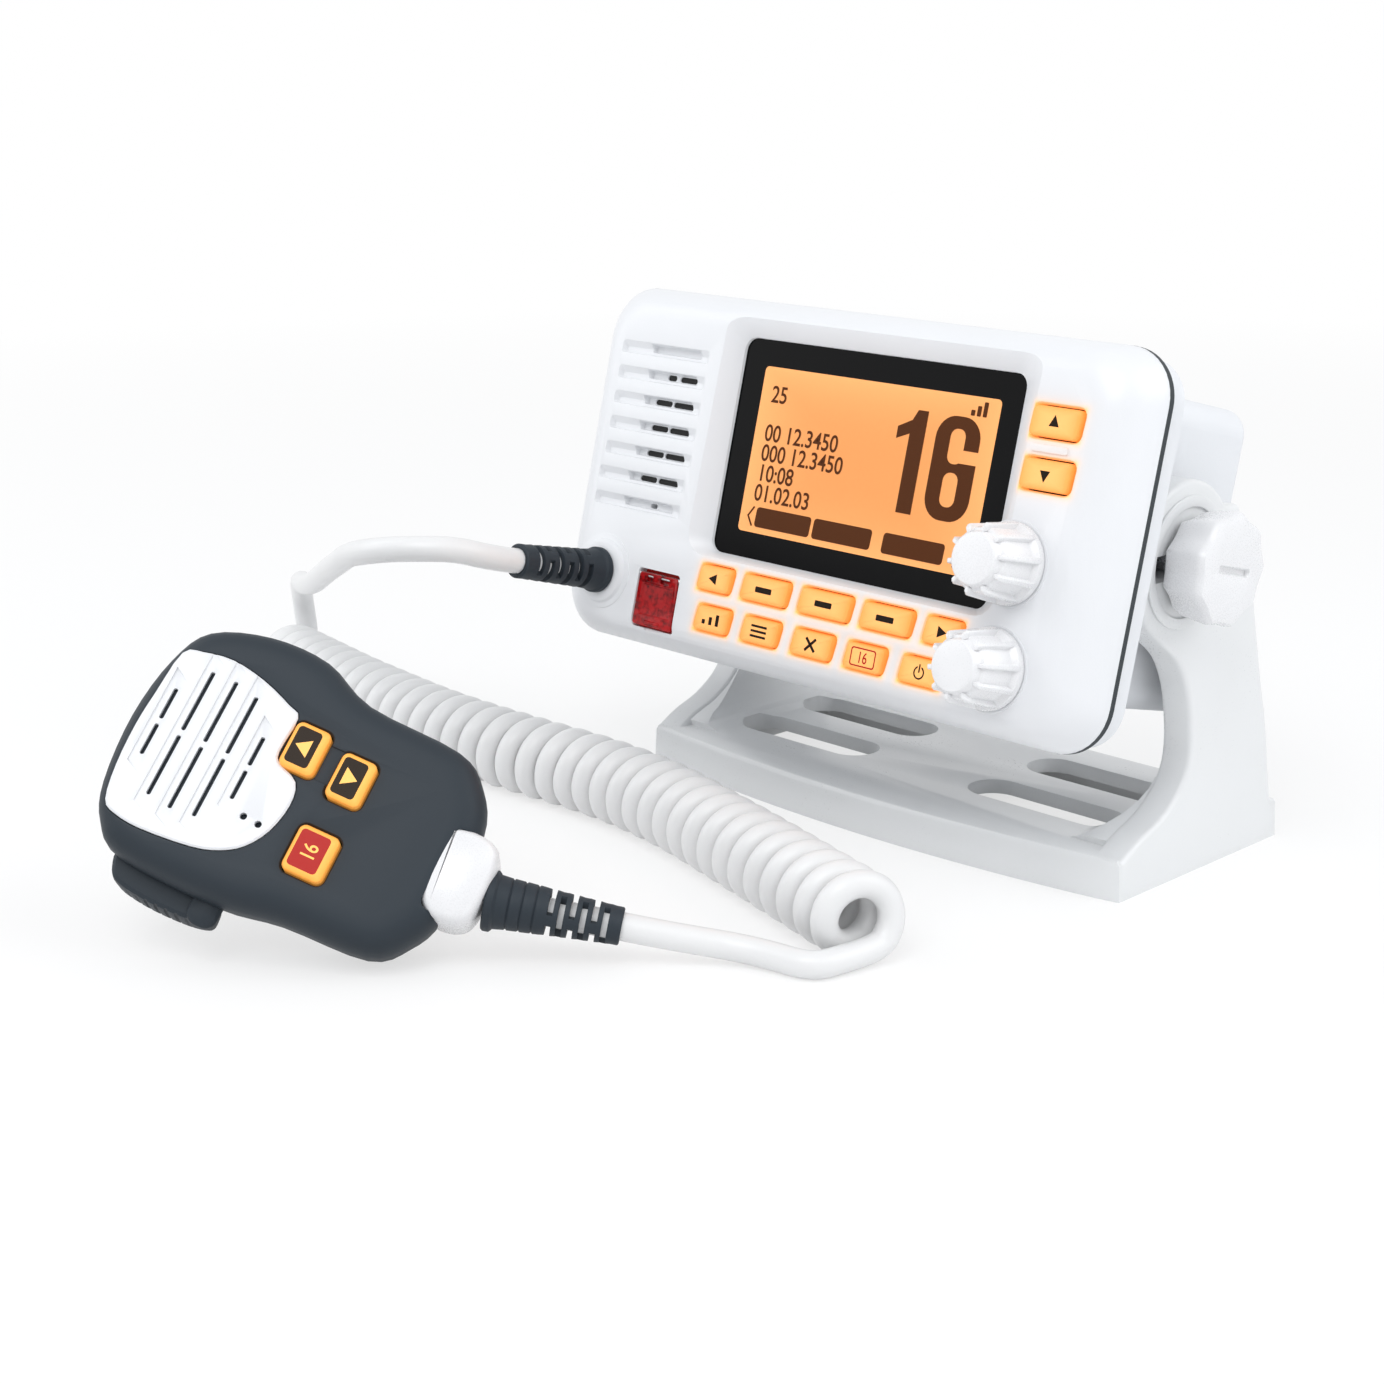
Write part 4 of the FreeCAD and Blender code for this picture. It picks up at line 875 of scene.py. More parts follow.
    def louvre_tools(self) -> list[bpy.types.Object]:
        """The sloping grooves in front of the speaker and the slits through them."""
        tools = []
        for i in range(7):
            y = self.louvre_top - i * self.louvre_pitch
            middle = self.louvre_left + self.louvre_long / 2 - 0.9 * (i > 4)
            groove = rounded(self.louvre_long, self.louvre_tall, 0.9, (middle, y), 3, 0.05)
            floor = rounded(self.louvre_long - 3.0, 1.5, 0.6, (middle - 0.6, y - 0.9), 3, 0.05)
            tools.append(Bench.loft("groove", [(self.face - 1.3, floor), (self.face + 0.3, groove)]))
            pocket = rounded(19.0, 2.7, 0.8, (middle + 3.4, y + 0.05), 3, 0.05)
            tools.append(Bench.loft("pocket", [(self.face - 2.6, inset(pocket, 0.5)), (self.face - 0.2, pocket)]))
            if 0 < i < 6:
                wide = 5.2 if i > 1 else 2.2
                long_slit = rounded(8.2 if i > 1 else 6.4, 1.5, 0.7, (middle + 8.0, y), 4, 0.05)
                short_slit = rounded(wide + 1.2, 1.5, 0.7, (middle + 0.2 + (1.6 if i == 1 else 0.0), y), 4, 0.05)
                tools += [Bench.slab("slit", long_slit, self.face - 9, self.face),
                          Bench.slab("slit", short_slit, self.face - 9, self.face)]
        tools.append(Bench.slab("slit", rounded(2.6, 1.3, 0.6, (middle + 4.0, y), 3), self.face - 9, self.face))
        return tools

    def glass(self) -> None:
        """The black window behind the bezel and the lit screen in it."""
        outline = rounded(self.window[0] + 2.4, self.window[1] + 2.4, 3.0, self.window_at, 6)
        window = Bench.slab("window", outline, self.window_depth - 1.6, self.window_depth)
        piece(window, "display_window", Body.RADIO, GLASS.material(), self.place, ["display_lens"])
        lit = rounded(self.screen[0], self.screen[1], 1.2, self.screen_at, 4)
        screen = Bench.slab("screen", lit, self.window_depth - 0.5, self.window_depth + 0.05)
        look = Lit("screen_amber", self.screen_at, (self.screen[0] / 2, self.screen[1] / 2), (0.66, 0.25, 0.075),
                   (0.80, 0.35, 0.12), 0.42)
        piece(screen, "display_screen", Body.RADIO, look.material(self.place), self.place,
              ["display_module"])

    def figures(self) -> None:
        """Plain figures and bars on the screen."""
        left, low = self.screen_at[0] - self.screen[0] / 2, self.screen_at[1] - self.screen[1] / 2
        parts = []
        parts += self.big_figures((left + 47.0, low + 12.2))
        for text, y in (("25", 34.0), ("00 12.3450", 24.0), ("000 12.3450", 18.8), ("10:08", 13.6), ("01.02.03", 8.4)):
            line = Bench.digits("line", text, 4.4, 0.92, 0.016)
            Bench.shift(line, left + 3.6, low + y)
            parts.append(line)
        figures = Bench.join("figures", parts)
        Bench.shift(figures, 0, 0, self.window_depth + 0.12)
        piece(figures, "screen_figures", Body.RADIO, SCREEN_INK.material(), self.place)
        bars = []
        for x, wide in ((left + 15.0, 19.0), (left + 35.2, 19.4), (left + 58.4, 19.4)):
            bars.append(flat(rounded(wide, 5.2, 0.9, (x, low + 4.2), 3, 0.04), "bar", self.window_depth + 0.06))
        for x, sign in ((left + 3.4, -1), (left + self.screen[0] - 4.6, 1)):
            hook = [(x + sign * 0.9, low + 4.2), (x - sign * 0.9, low + 6.8), (x - sign * 1.4, low + 6.6),
                    (x + sign * 0.3, low + 4.2), (x - sign * 1.4, low + 1.8), (x - sign * 0.9, low + 1.6)]
            bars.append(flat(hook, "hook", self.window_depth + 0.06))
        for step in range(3):
            bars.append(flat(rounded(1.2, 1.4 + step * 1.1, 0.2, (left + self.screen[0] - 8.0 + step * 1.8,
                                                                   low + 39.0 + step * 0.55), 2), "level",
                             self.window_depth + 0.06))
        piece(Bench.join("bars", bars), "screen_bars", Body.RADIO, SCREEN_INK.material(),
              self.place)

    def big_figures(self, at: Point2, tall: float = 25.5) -> list[bpy.types.Object]:
        """The tall condensed figures of the channel in use.

        Args:
            at: Their lower left corner.
            tall: Their height.

        Returns:
            Flat shapes.
        """
        one = Bench.slab("one", [(4.0, 0), (8.8, 0), (8.8, tall), (5.6, tall), (4.2, tall - 2.6), (0.0, tall - 4.6),
                                 (0.0, tall - 7.6), (4.0, tall - 6.0)], -0.03, 0.0)
        middle = 19.0
        six = Bench.slab("six", rounded(13.6, tall, 5.6, (middle, tall / 2), 8), -0.03, 0.0)
        upper = rounded(4.6, 8.6, 2.0, (middle, tall - 7.3), 5)
        lower = rounded(4.6, 8.4, 2.0, (middle, 7.6), 5)
        gap = rounded(8.0, 3.2, 0.2, (middle + 5.2, tall - 9.6), 2)
        Bench.carve(six, *(Bench.slab("cut", outline, -1, 1) for outline in (upper, lower, gap)))
        for shape in (one, six):
            Bench.shift(shape, *at)
        return [one, six]

    def mark(self, key: Key) -> list[bpy.types.Object]:
        """The black sign printed on a key.

        Args:
            key: The key.

        Returns:
            Its flat shapes.
        """
        x, y = key.at
        top = self.key_front - 0.02
        turns = {"left": 180.0, "right": 0.0, "up": 90.0, "down": 270.0}
        if key.mark in turns:
            size = 1.75
            spots = [(size * math.cos(math.radians(turns[key.mark] + a)) + x,
                      size * math.sin(math.radians(turns[key.mark] + a)) + y) for a in (0, 125, 235)]
            return [flat(spots, "arrow", top)]
        if key.mark == "dash":
            return [flat(rounded(5.6, 1.5, 0.25, key.at, 2), "dash", top)]
        if key.mark == "bars":
            return [flat(rounded(1.1, tall, 0.1, (x - 2.4 + i * 2.4, y - 1.4 + tall / 2), 2), "level", top)
                    for i, tall in enumerate((1.2, 2.1, 3.0))]
        if key.mark == "lines":
            return [flat(rounded(5.4, 0.6, 0.1, (x, y + i * 1.3), 2), "line", top) for i in (-1, 0, 1)]
        if key.mark == "cross":
            arms = []
            for sign in (1, -1):
                arm = flat(rounded(4.6, 0.75, 0.1, (0, 0), 2), "arm", top)
                arm.data.transform(Matrix.Translation((x, y, 0)) @ Matrix.Rotation(sign * math.pi / 4, 4, "Z"))
                arms.append(arm)
            return arms
        if key.mark == "power":
            ring = Bench.turned("ring", [(1.25, top), (1.65, top), (1.65, top + 0.06), (1.25, top + 0.06)], 32)
            gap = Bench.slab("gap", rounded(1.2, 2.0, 0.1, (0, 1.5), 2), top - 1, top + 1)
            Bench.carve(ring, gap)
            Bench.shift(ring, x, y - 0.2)
            return [ring, flat(rounded(0.42, 2.1, 0.1, (x, y + 0.85), 2), "stroke", top)]
        number = Bench.digits("number", key.mark, 2.9, 0.8, 0.012)
        Bench.shift(number, x - 1.75, y - 1.4, top + 0.05)
        frame_ring = Bench.slab("frame", rounded(8.0, 4.7, 0.7, key.at, 3), top, top + 0.05)
        Bench.carve(frame_ring, Bench.slab("frame_hole", rounded(7.3, 4.0, 0.5, key.at, 3), top - 1, top + 1))
        return [number, frame_ring]

    def key(self, key: Key) -> None:
        """A crowned rubber key and its printed sign.

        Args:
            key: The key.
        """
        wide = rounded(key.wide, key.tall, 1.5, key.at, 4, key.slant)
        top = self.key_front
        cap = Bench.loft(key.name, [(top - 4.6, wide), (top - 0.75, wide), (top - 0.25, inset(wide, 0.22)),
                                    (top - 0.03, inset(wide, 0.75)), (top, inset(wide, 1.3))])
        look = Lit(key.name + "_amber", key.at, (key.wide / 2, key.tall / 2), PALE_AMBER, (0.90, 0.31, 0.06), 0.30)
        piece(cap, key.name + "_cap", key.name, look.material(self.place), self.place, [key.name])
        finish = RED_CAP if key.mark == CALLING else PRINT
        sign = Bench.join(key.name + "_sign", self.mark(key))
        piece(sign, key.name + "_sign", key.name, finish.material(), self.place)

    def knob(self, name: str, height: float) -> None:
        """A rotary knob: a skirt, a drawn-in body with raised ribs, and a domed cap.

        Args:
            name: The control's name.
            height: Its place up the panel.
        """
        foot = self.face + 0.5
        body = Bench.turned(name, [(0.0, foot), (9.9, foot), (10.0, foot + 0.6), (9.7, foot + 1.6), (8.9, foot + 2.2),
                                   (8.3, foot + 2.6), (7.75, foot + 11.2), (7.3, foot + 12.0), (6.7, foot + 12.3),
                                   (6.3, foot + 14.0), (5.9, foot + 14.4), (3.0, foot + 14.55),
                                   (0.0, foot + 14.55)], 96)
        rib = Bench.loft("rib", [(foot + 1.2, rounded(2.0, 1.5, 0.35, (8.9, 0), 3)),
                                 (foot + 12.4, rounded(2.0, 1.3, 0.35, (7.7, 0), 3)),
                                 (foot + 13.3, rounded(1.5, 0.9, 0.3, (7.2, 0), 3))])
        ribs = Bench.copies(rib, [Matrix.Rotation(i * math.tau / 10 + 0.2, 4, "Z") for i in range(10)])
        Bench.carve(body, *ribs, keep="UNION")
        stem = Bench.turned("stem", [(0, self.face - 5), (2.9, self.face - 5), (2.9, foot + 0.2), (0, foot + 0.2)], 32)
        body = Bench.join(name, [Bench.bevel(body, 0.22, 2, 40.0), stem])
        Bench.shift(body, self.knob_across, height)
        piece(body, name + "_knob_grip", name + "_knob", KNOB.material(), self.place, [name + "_knob"])

    def distress(self) -> None:
        """The red lid with its raised rim and lip, the button under it and the dark well behind."""
        x, y = self.lid_at
        top = self.face - 0.15
        outline = rounded(self.lid[0], self.lid[1] - 0.6, 0.9, (x, y - 0.2), 4)
        lid = Bench.slab("lid", outline, top - 1.6, top)
        pan = rounded(self.lid[0] - 2.6, self.lid[1] - 6.2, 0.7, (x, y - 0.3), 4)
        Bench.carve(lid, Bench.loft("pan", [(top - 0.5, inset(pan, 0.4)), (top + 0.1, pan)]))
        for offset, wide in ((-3.2, 2.2), (2.4, 3.4)):
            clip = Bench.slab("clip", rounded(wide, 1.6, 0.4, (x + offset, y + 5.4), 3), top - 0.9, top + 0.5)
            Bench.carve(lid, clip)
        lip = Bench.loft("lip", [(top - 0.3, rounded(6.4, 1.3, 0.5, (x, y - 6.3), 3)),
                                 (top + 0.5, rounded(5.6, 0.7, 0.3, (x, y - 6.3), 3))])
        Bench.carve(lid, lip, keep="UNION")
        red = RedClear().material(self.place)
        piece(Bench.bevel(lid, 0.18, 2, 30.0), "distress_lid", "distress_cover", red, self.place,
              ["distress_cover"])
        button = Bench.bevel(Bench.slab("button", rounded(8.5, 8.5, 1.0, self.lid_at), top - 5.8, top - 2.1), 0.5, 3)
        piece(button, "distress_button_cap", "distress_button", red, self.place, ["distress_button"])
        well = Bench.slab("well", rounded(self.lid[0] + 2, self.lid[1] + 2, 1.0, self.lid_at), top - 6.5, top - 2.9)
        hole = Bench.slab("hole", rounded(9.3, 9.3, 1.2, self.lid_at), top - 7, top - 2)
        piece(Bench.carve(well, hole), "distress_well", Body.RADIO, RED_CAP.material(), self.place)


@dataclass
class Casing:
    """The clamp knobs and rear fittings, which replace their solids."""

    knob_round: float = 14.4
    knob_thick: float = 13.0
    knob_start: float = 83.3
    lobes: int = 9
    socket_at: Point3 = (-24.0, 40.0, -27.0)
    inlet_at: Point3 = (26.0, 40.0, -27.0)
    screws_at: Point3 = (1.5, -27.5, -0.7)
    screw_grid: Point2 = (76.9, 38.575)

    @staticmethod
    def rearward(at: Point3) -> Matrix:
        """Axes at a spot of the radio whose Z points out of its back."""
        return Matrix.Translation(at) @ Matrix.Rotation(-math.pi / 2, 4, "X")

    def build(self) -> None:
        """Builds the clamp knobs and rear fittings."""
        for name, sign in (("right", 1), ("left", -1)):
            self.clamp(name, sign)
        self.socket()
        self.inlet()
        self.screws()

    def clamp(self, name: str, sign: int) -> None:
        """A clamp knob with shallow finger scallops and a coin slot.

        Args:
            name: Which side it is on.
            sign: The side's direction along X.
        """
        start, end = self.knob_start, self.knob_start + self.knob_thick
        outline = []
        for i in range(144):
            angle = i / 144 * math.tau
            radius = self.knob_round - 1.1 * (0.5 + 0.5 * math.cos(angle * self.lobes)) ** 0.75
            outline.append((radius * math.cos(angle), radius * math.sin(angle)))
        body = Bench.loft(name, [(start, inset(outline, 3.4)), (start + 1.0, inset(outline, 2.0)),
                                 (start + 4.0, inset(outline, 0.9)), (end - 2.6, outline),
                                 (end - 1.2, inset(outline, 0.25)), (end - 0.35, inset(outline, 0.9)),
                                 (end, inset(outline, 1.9))])
        coin = Bench.loft("coin", [(end - 1.3, rounded(13.2, 1.3, 0.5, steps=4)),
                                   (end + 0.2, rounded(13.8, 2.3, 0.8, steps=4))])
        coin.data.transform(Matrix.Rotation(math.radians(90.0), 4, "Z"))
        Bench.carve(body, coin)
        piece(Bench.bevel(body, 0.2, 2, 40.0), "clamp_grip_" + name, "clamp_" + name, KNOB.material(),
              STANCE.side(sign), ["clamp_knob_" + name])

    def socket(self) -> None:
        """The threaded aerial socket with its flange and white insulator."""
        place = STANCE.radio() @ self.rearward(self.socket_at)
        outside = [(10.0, 0), (10.0, 1.7), (9.7, 2.0), (7.6, 2.0), (7.6, 2.8)]
        for i in range(11):
            outside += [(7.95, 3.1 + i * 0.95), (7.45, 3.55 + i * 0.95)]
        outside += [(7.6, 13.7), (7.2, 14.0), (5.5, 14.0), (5.5, 3.0), (0.0, 3.0), (0.0, 0.0)]
        shell = Bench.turned("socket", outside)
        piece(shell, "aerial_socket_shell", Body.RADIO, NICKEL.material(), place, ["antenna_socket"])
        core = Bench.turned("core", [(2.0, 3.0), (5.3, 3.0), (5.3, 8.5), (2.0, 8.5)], 32)
        piece(core, "aerial_socket_core", Body.RADIO, MOULDING.material(), place)

    def inlet(self) -> None:
        """The ribbed grommet of the supply cable."""
        place = STANCE.radio() @ self.rearward(self.inlet_at)
        profile = [(9.0, 0), (9.0, 1.6), (8.6, 2.0), (6.6, 2.0)]
        for i in range(4):
            z, wide, narrow = 1.8 * i, 6.6 - i * 0.35, 5.6 - i * 0.3
            profile += [(wide - 0.1, z + 2.6), (wide, z + 3.6), (narrow, z + 3.8), (narrow, z + 4.2)]
        grommet = Bench.turned("grommet", profile + [(4.9, 10.0), (3.0, 10.0), (3.0, 2.0), (0.0, 2.0), (0.0, 0.0)])
        piece(grommet, "supply_grommet", Body.RADIO, DARK_RUBBER.material(), place, ["power_inlet"])

    def screws(self) -> None:
        """The four case screws behind the flange, each with a cross recess."""
        head = Bench.turned("head", [(0, 0), (2.9, 0), (2.95, 0.5), (2.4, 1.3), (1.2, 1.6), (0, 1.6)], 32)
        arm = Bench.loft("arm", [(0.7, rounded(2.6, 0.6, 0.1, steps=2)), (2.0, rounded(3.2, 0.9, 0.1, steps=2))])
        Bench.crossed(head, arm)
        (x, y, z), (wide, tall) = self.screws_at, self.screw_grid
        spots = [self.rearward((x + sx * wide, y, z + sy * tall)) for sx in (-1, 1) for sy in (-1, 1)]
        heads = Bench.join("heads", Bench.copies(head, spots))
        piece(heads, "case_screw_heads", Body.RADIO, STEEL.material(), STANCE.radio(), ["case_screws"])


@dataclass
class Mount:
    """The bracket: a bowed, hollow base with slots and two sweeping arms."""

    half: float = 82.5
    arm: float = 9.0
    base_top: float = 11.0
    head: float = 20.3
    slot_mouth: float = 6.6
    bulge: float = 7.3
    fillet: float = 14.0
    slots: Point2 = (48.0, 15.0)
    slot_grid: Point2 = (42.0, 13.0)
    front: list[Point2] = field(default_factory=lambda: [
        (-36.0, 0.2), (-36.0, 9.2), (-34.0, 11.0), (-28.0, 14.2), (-20.0, 17.2), (-13.0, 21.8), (-9.0, 27.2),
        (-7.8, 33.0), (-8.6, 41.0), (-11.0, 50.0), (-15.5, 57.5), (-22.0, 62.8), (-27.0, 66.5)])
    rear: list[Point2] = field(default_factory=lambda: [
        (7.6, 94.2), (14.0, 80.0), (18.6, 64.0), (23.4, 46.0), (27.6, 32.0), (30.8, 16.4), (35.0, 0.2)])

    def arm_outline(self) -> list[Point2]:
        """The arm's side view: a swept foot, a waist and a round head."""
        pivot = Vector((STANCE.pivot_back, STANCE.pivot_height))
        first, last = (math.atan2(y - pivot.y, x - pivot.x) for x, y in (self.front[-1], self.rear[0]))
        sweep = (last - first) % math.tau - math.tau
        angles = [first + sweep * i / 20 for i in range(1, 20)]
        head = [tuple(pivot + self.head * Vector((math.cos(angle), math.sin(angle)))) for angle in angles]
        points = []
        for chain in (self.front, self.rear):
            ends = [chain[0], *chain, chain[-1]]
            for near in zip(ends, ends[1:], ends[2:], ends[3:]):
                points += [tuple(between(*map(Vector, near), j / 3)) for j in range(3)]
            points.append(chain[-1])
            if chain is self.front:
                points += head
        return points

    def build(self) -> None:
        """Builds the bracket as one moulding."""
        near, far = self.front[0][0], self.rear[-1][0]
        bow = [(-self.half, far), (-self.half, near)]
        bow += [(-self.half + 2 * self.half * i / 24, near - self.bulge * math.sin(math.pi * i / 24) ** 0.8)
                for i in range(1, 24)]
        bow += [(self.half, near), (self.half, far)]
        base = Bench.loft("bracket", [(0.0, bow), (self.base_top - 1.8, inset(bow, 0.5)),
                                      (self.base_top - 0.5, inset(bow, 1.3)), (self.base_top, inset(bow, 3.0))])
        upright = Matrix(((0, 0, 1, 0), (1, 0, 0, 0), (0, 1, 0, 0), (0, 0, 0, 1)))
        for start in (-self.half, self.half - self.arm):
            outline = self.arm_outline()
            arm = Bench.slab("arm", outline, start, start + self.arm)
            arm.data.transform(upright)
            Bench.outward(arm)
            Bench.bevel(arm, 1.5, 4, 50.0)
            Bench.carve(base, arm, keep="UNION")
        for sign in (-1, 1):
            inner = self.half - self.arm
            fillet = [(sign * (inner + 0.3), self.base_top - 1.5)]
            for i in range(9):
                angle = i / 8 * math.pi / 2
                fillet.append((sign * (inner - self.fillet * (1 - math.sin(angle))),
                               self.base_top - 0.3 + self.fillet * (1 - math.cos(angle))))
            fillet.append((sign * (inner + 0.3), self.base_top - 0.3 + self.fillet))
            web = Bench.slab("web", fillet, -30.0, 26.0)
            web.data.transform(Matrix(((1, 0, 0, 0), (0, 0, 1, 0), (0, 1, 0, 0), (0, 0, 0, 1))))
            Bench.outward(web)
            trim = Bench.slab("trim", inset(self.arm_outline(), 0.6), -100, 100)
            trim.data.transform(upright)
            Bench.outward(trim)
            Bench.carve(web, trim, keep="INTERSECT")
            Bench.carve(base, web, keep="UNION")
        tools = []
        for sx in (-1, 1):
            for sy in (-1, 1):
                at = (sx * self.slot_grid[0], sy * self.slot_grid[1])
                slot = rounded(self.slots[0], self.slots[1], 7.4, at, 8)
                tools.append(Bench.slab("slot", slot, -1, self.base_top + 1))
        tools.append(Bench.slab("hollow", rounded(147.0, 59.0, 3.0), -1, 7.0))
        pivot = (STANCE.pivot_back, STANCE.pivot_height)
        for start in (-self.half - 1, self.half - self.arm - 1):
            mouth = rounded(self.head + 14, self.slot_mouth, 3.25, (pivot[0] - (self.head + 14) / 2 + 3.3, pivot[1]), 8)
            cut = Bench.slab("mouth", mouth, start, start + self.arm + 2)
            cut.data.transform(upright)
            tools.append(Bench.outward(cut))
        Bench.carve(base, *tools)
        Bench.bevel(base, 0.7, 3, 40.0)
        piece(base, "bracket_moulding", Body.BRACKET, BRACKET.material(),
              Matrix.Scale(MM, 4), ["bracket"], 40.0)
        for sign in (-1, 1):
            rim = Bench.turned("rim", [(13.8, 0.0), (16.6, 0.0), (16.6, 0.75), (13.8, 0.75)], 72)
            turn = Matrix.Translation((sign * self.half, *pivot)) @ Matrix.Rotation(sign * math.pi / 2, 4, "Y")
            rim.data.transform(turn)
            piece(Bench.bevel(rim, 0.25, 2), "pivot_rim_%s" % ("right" if sign > 0 else "left"), Body.BRACKET,
                  BRACKET.material(), Matrix.Scale(MM, 4))


@dataclass
class Relief:
    """A tapered rubber strain relief with slots through which the white cord shows."""

    name: str
    body: Body
    node: str
    place: Matrix
    long: float
    base: float
    tip: float
    collar: float
    plain: float
    bore: float = 3.35

    def build(self) -> None:
        """Builds the sleeve, its slots and the length of cord inside it."""
        rings = 7
        pitch = (self.long - self.plain) / rings
        outline = [(self.bore, 0.0), (self.collar - 0.4, 0.0), (self.collar, 0.5), (self.collar, 1.9),
                   (self.collar - 0.5, 2.4), (self.base, 2.6)]
        lines = int(self.plain / 3.2)
        for i in range(1, lines):
            z = 2.6 + i * 3.0
            radius = self.radius(z)
            outline += [(radius, z - 0.35), (radius - 0.35, z), (radius, z + 0.35)]
        for i in range(rings + 1):
            z = self.plain + i * pitch
            radius = self.radius(z)
            outline += [(radius, z - pitch * 0.22), (radius - 0.15, z + pitch * 0.22)]
        outline = [spot for spot in outline if spot[1] <= self.long - 0.3]
        outline += [(self.tip, self.long - 0.3), (self.tip - 0.3, self.long), (self.bore, self.long)]
        sleeve = Bench.turned(self.name, outline, 56)
        tools = []
        for i in range(rings - 1):
            z = self.plain + (i + 0.5) * pitch
            reach = self.radius(z) * 2
            cut = Bench.slab("cut", rounded(reach * 2, reach * 1.15, 0.8), z - pitch * 0.27, z + pitch * 0.27)
            core = Bench.slab("core", rounded(reach * 2.5, 2.6, 0.5), z - pitch, z + pitch)
            Bench.carve(cut, core)
            cut.data.transform(Matrix.Rotation(math.pi / 2 * (i % 2) + math.radians(35), 4, "Z"))
            tools.append(cut)
        Bench.carve(sleeve, *tools)
        Bench.bevel(sleeve, 0.22, 2, 40.0)
        piece(sleeve, self.name, self.body, DARK_RUBBER.material(), self.place, [self.node])
        end = self.long - 0.3
        core = Bench.turned("core", [(0, 0.4), (self.bore, 0.4), (self.bore, end), (0, end)], 40)
        piece(core, self.name + "_core", self.body, JACKET.material(), self.place)

    def radius(self, z: float) -> float:
        """The sleeve's radius at a height."""
        return self.base + (self.tip - self.base) * min(z / self.long, 1.0)


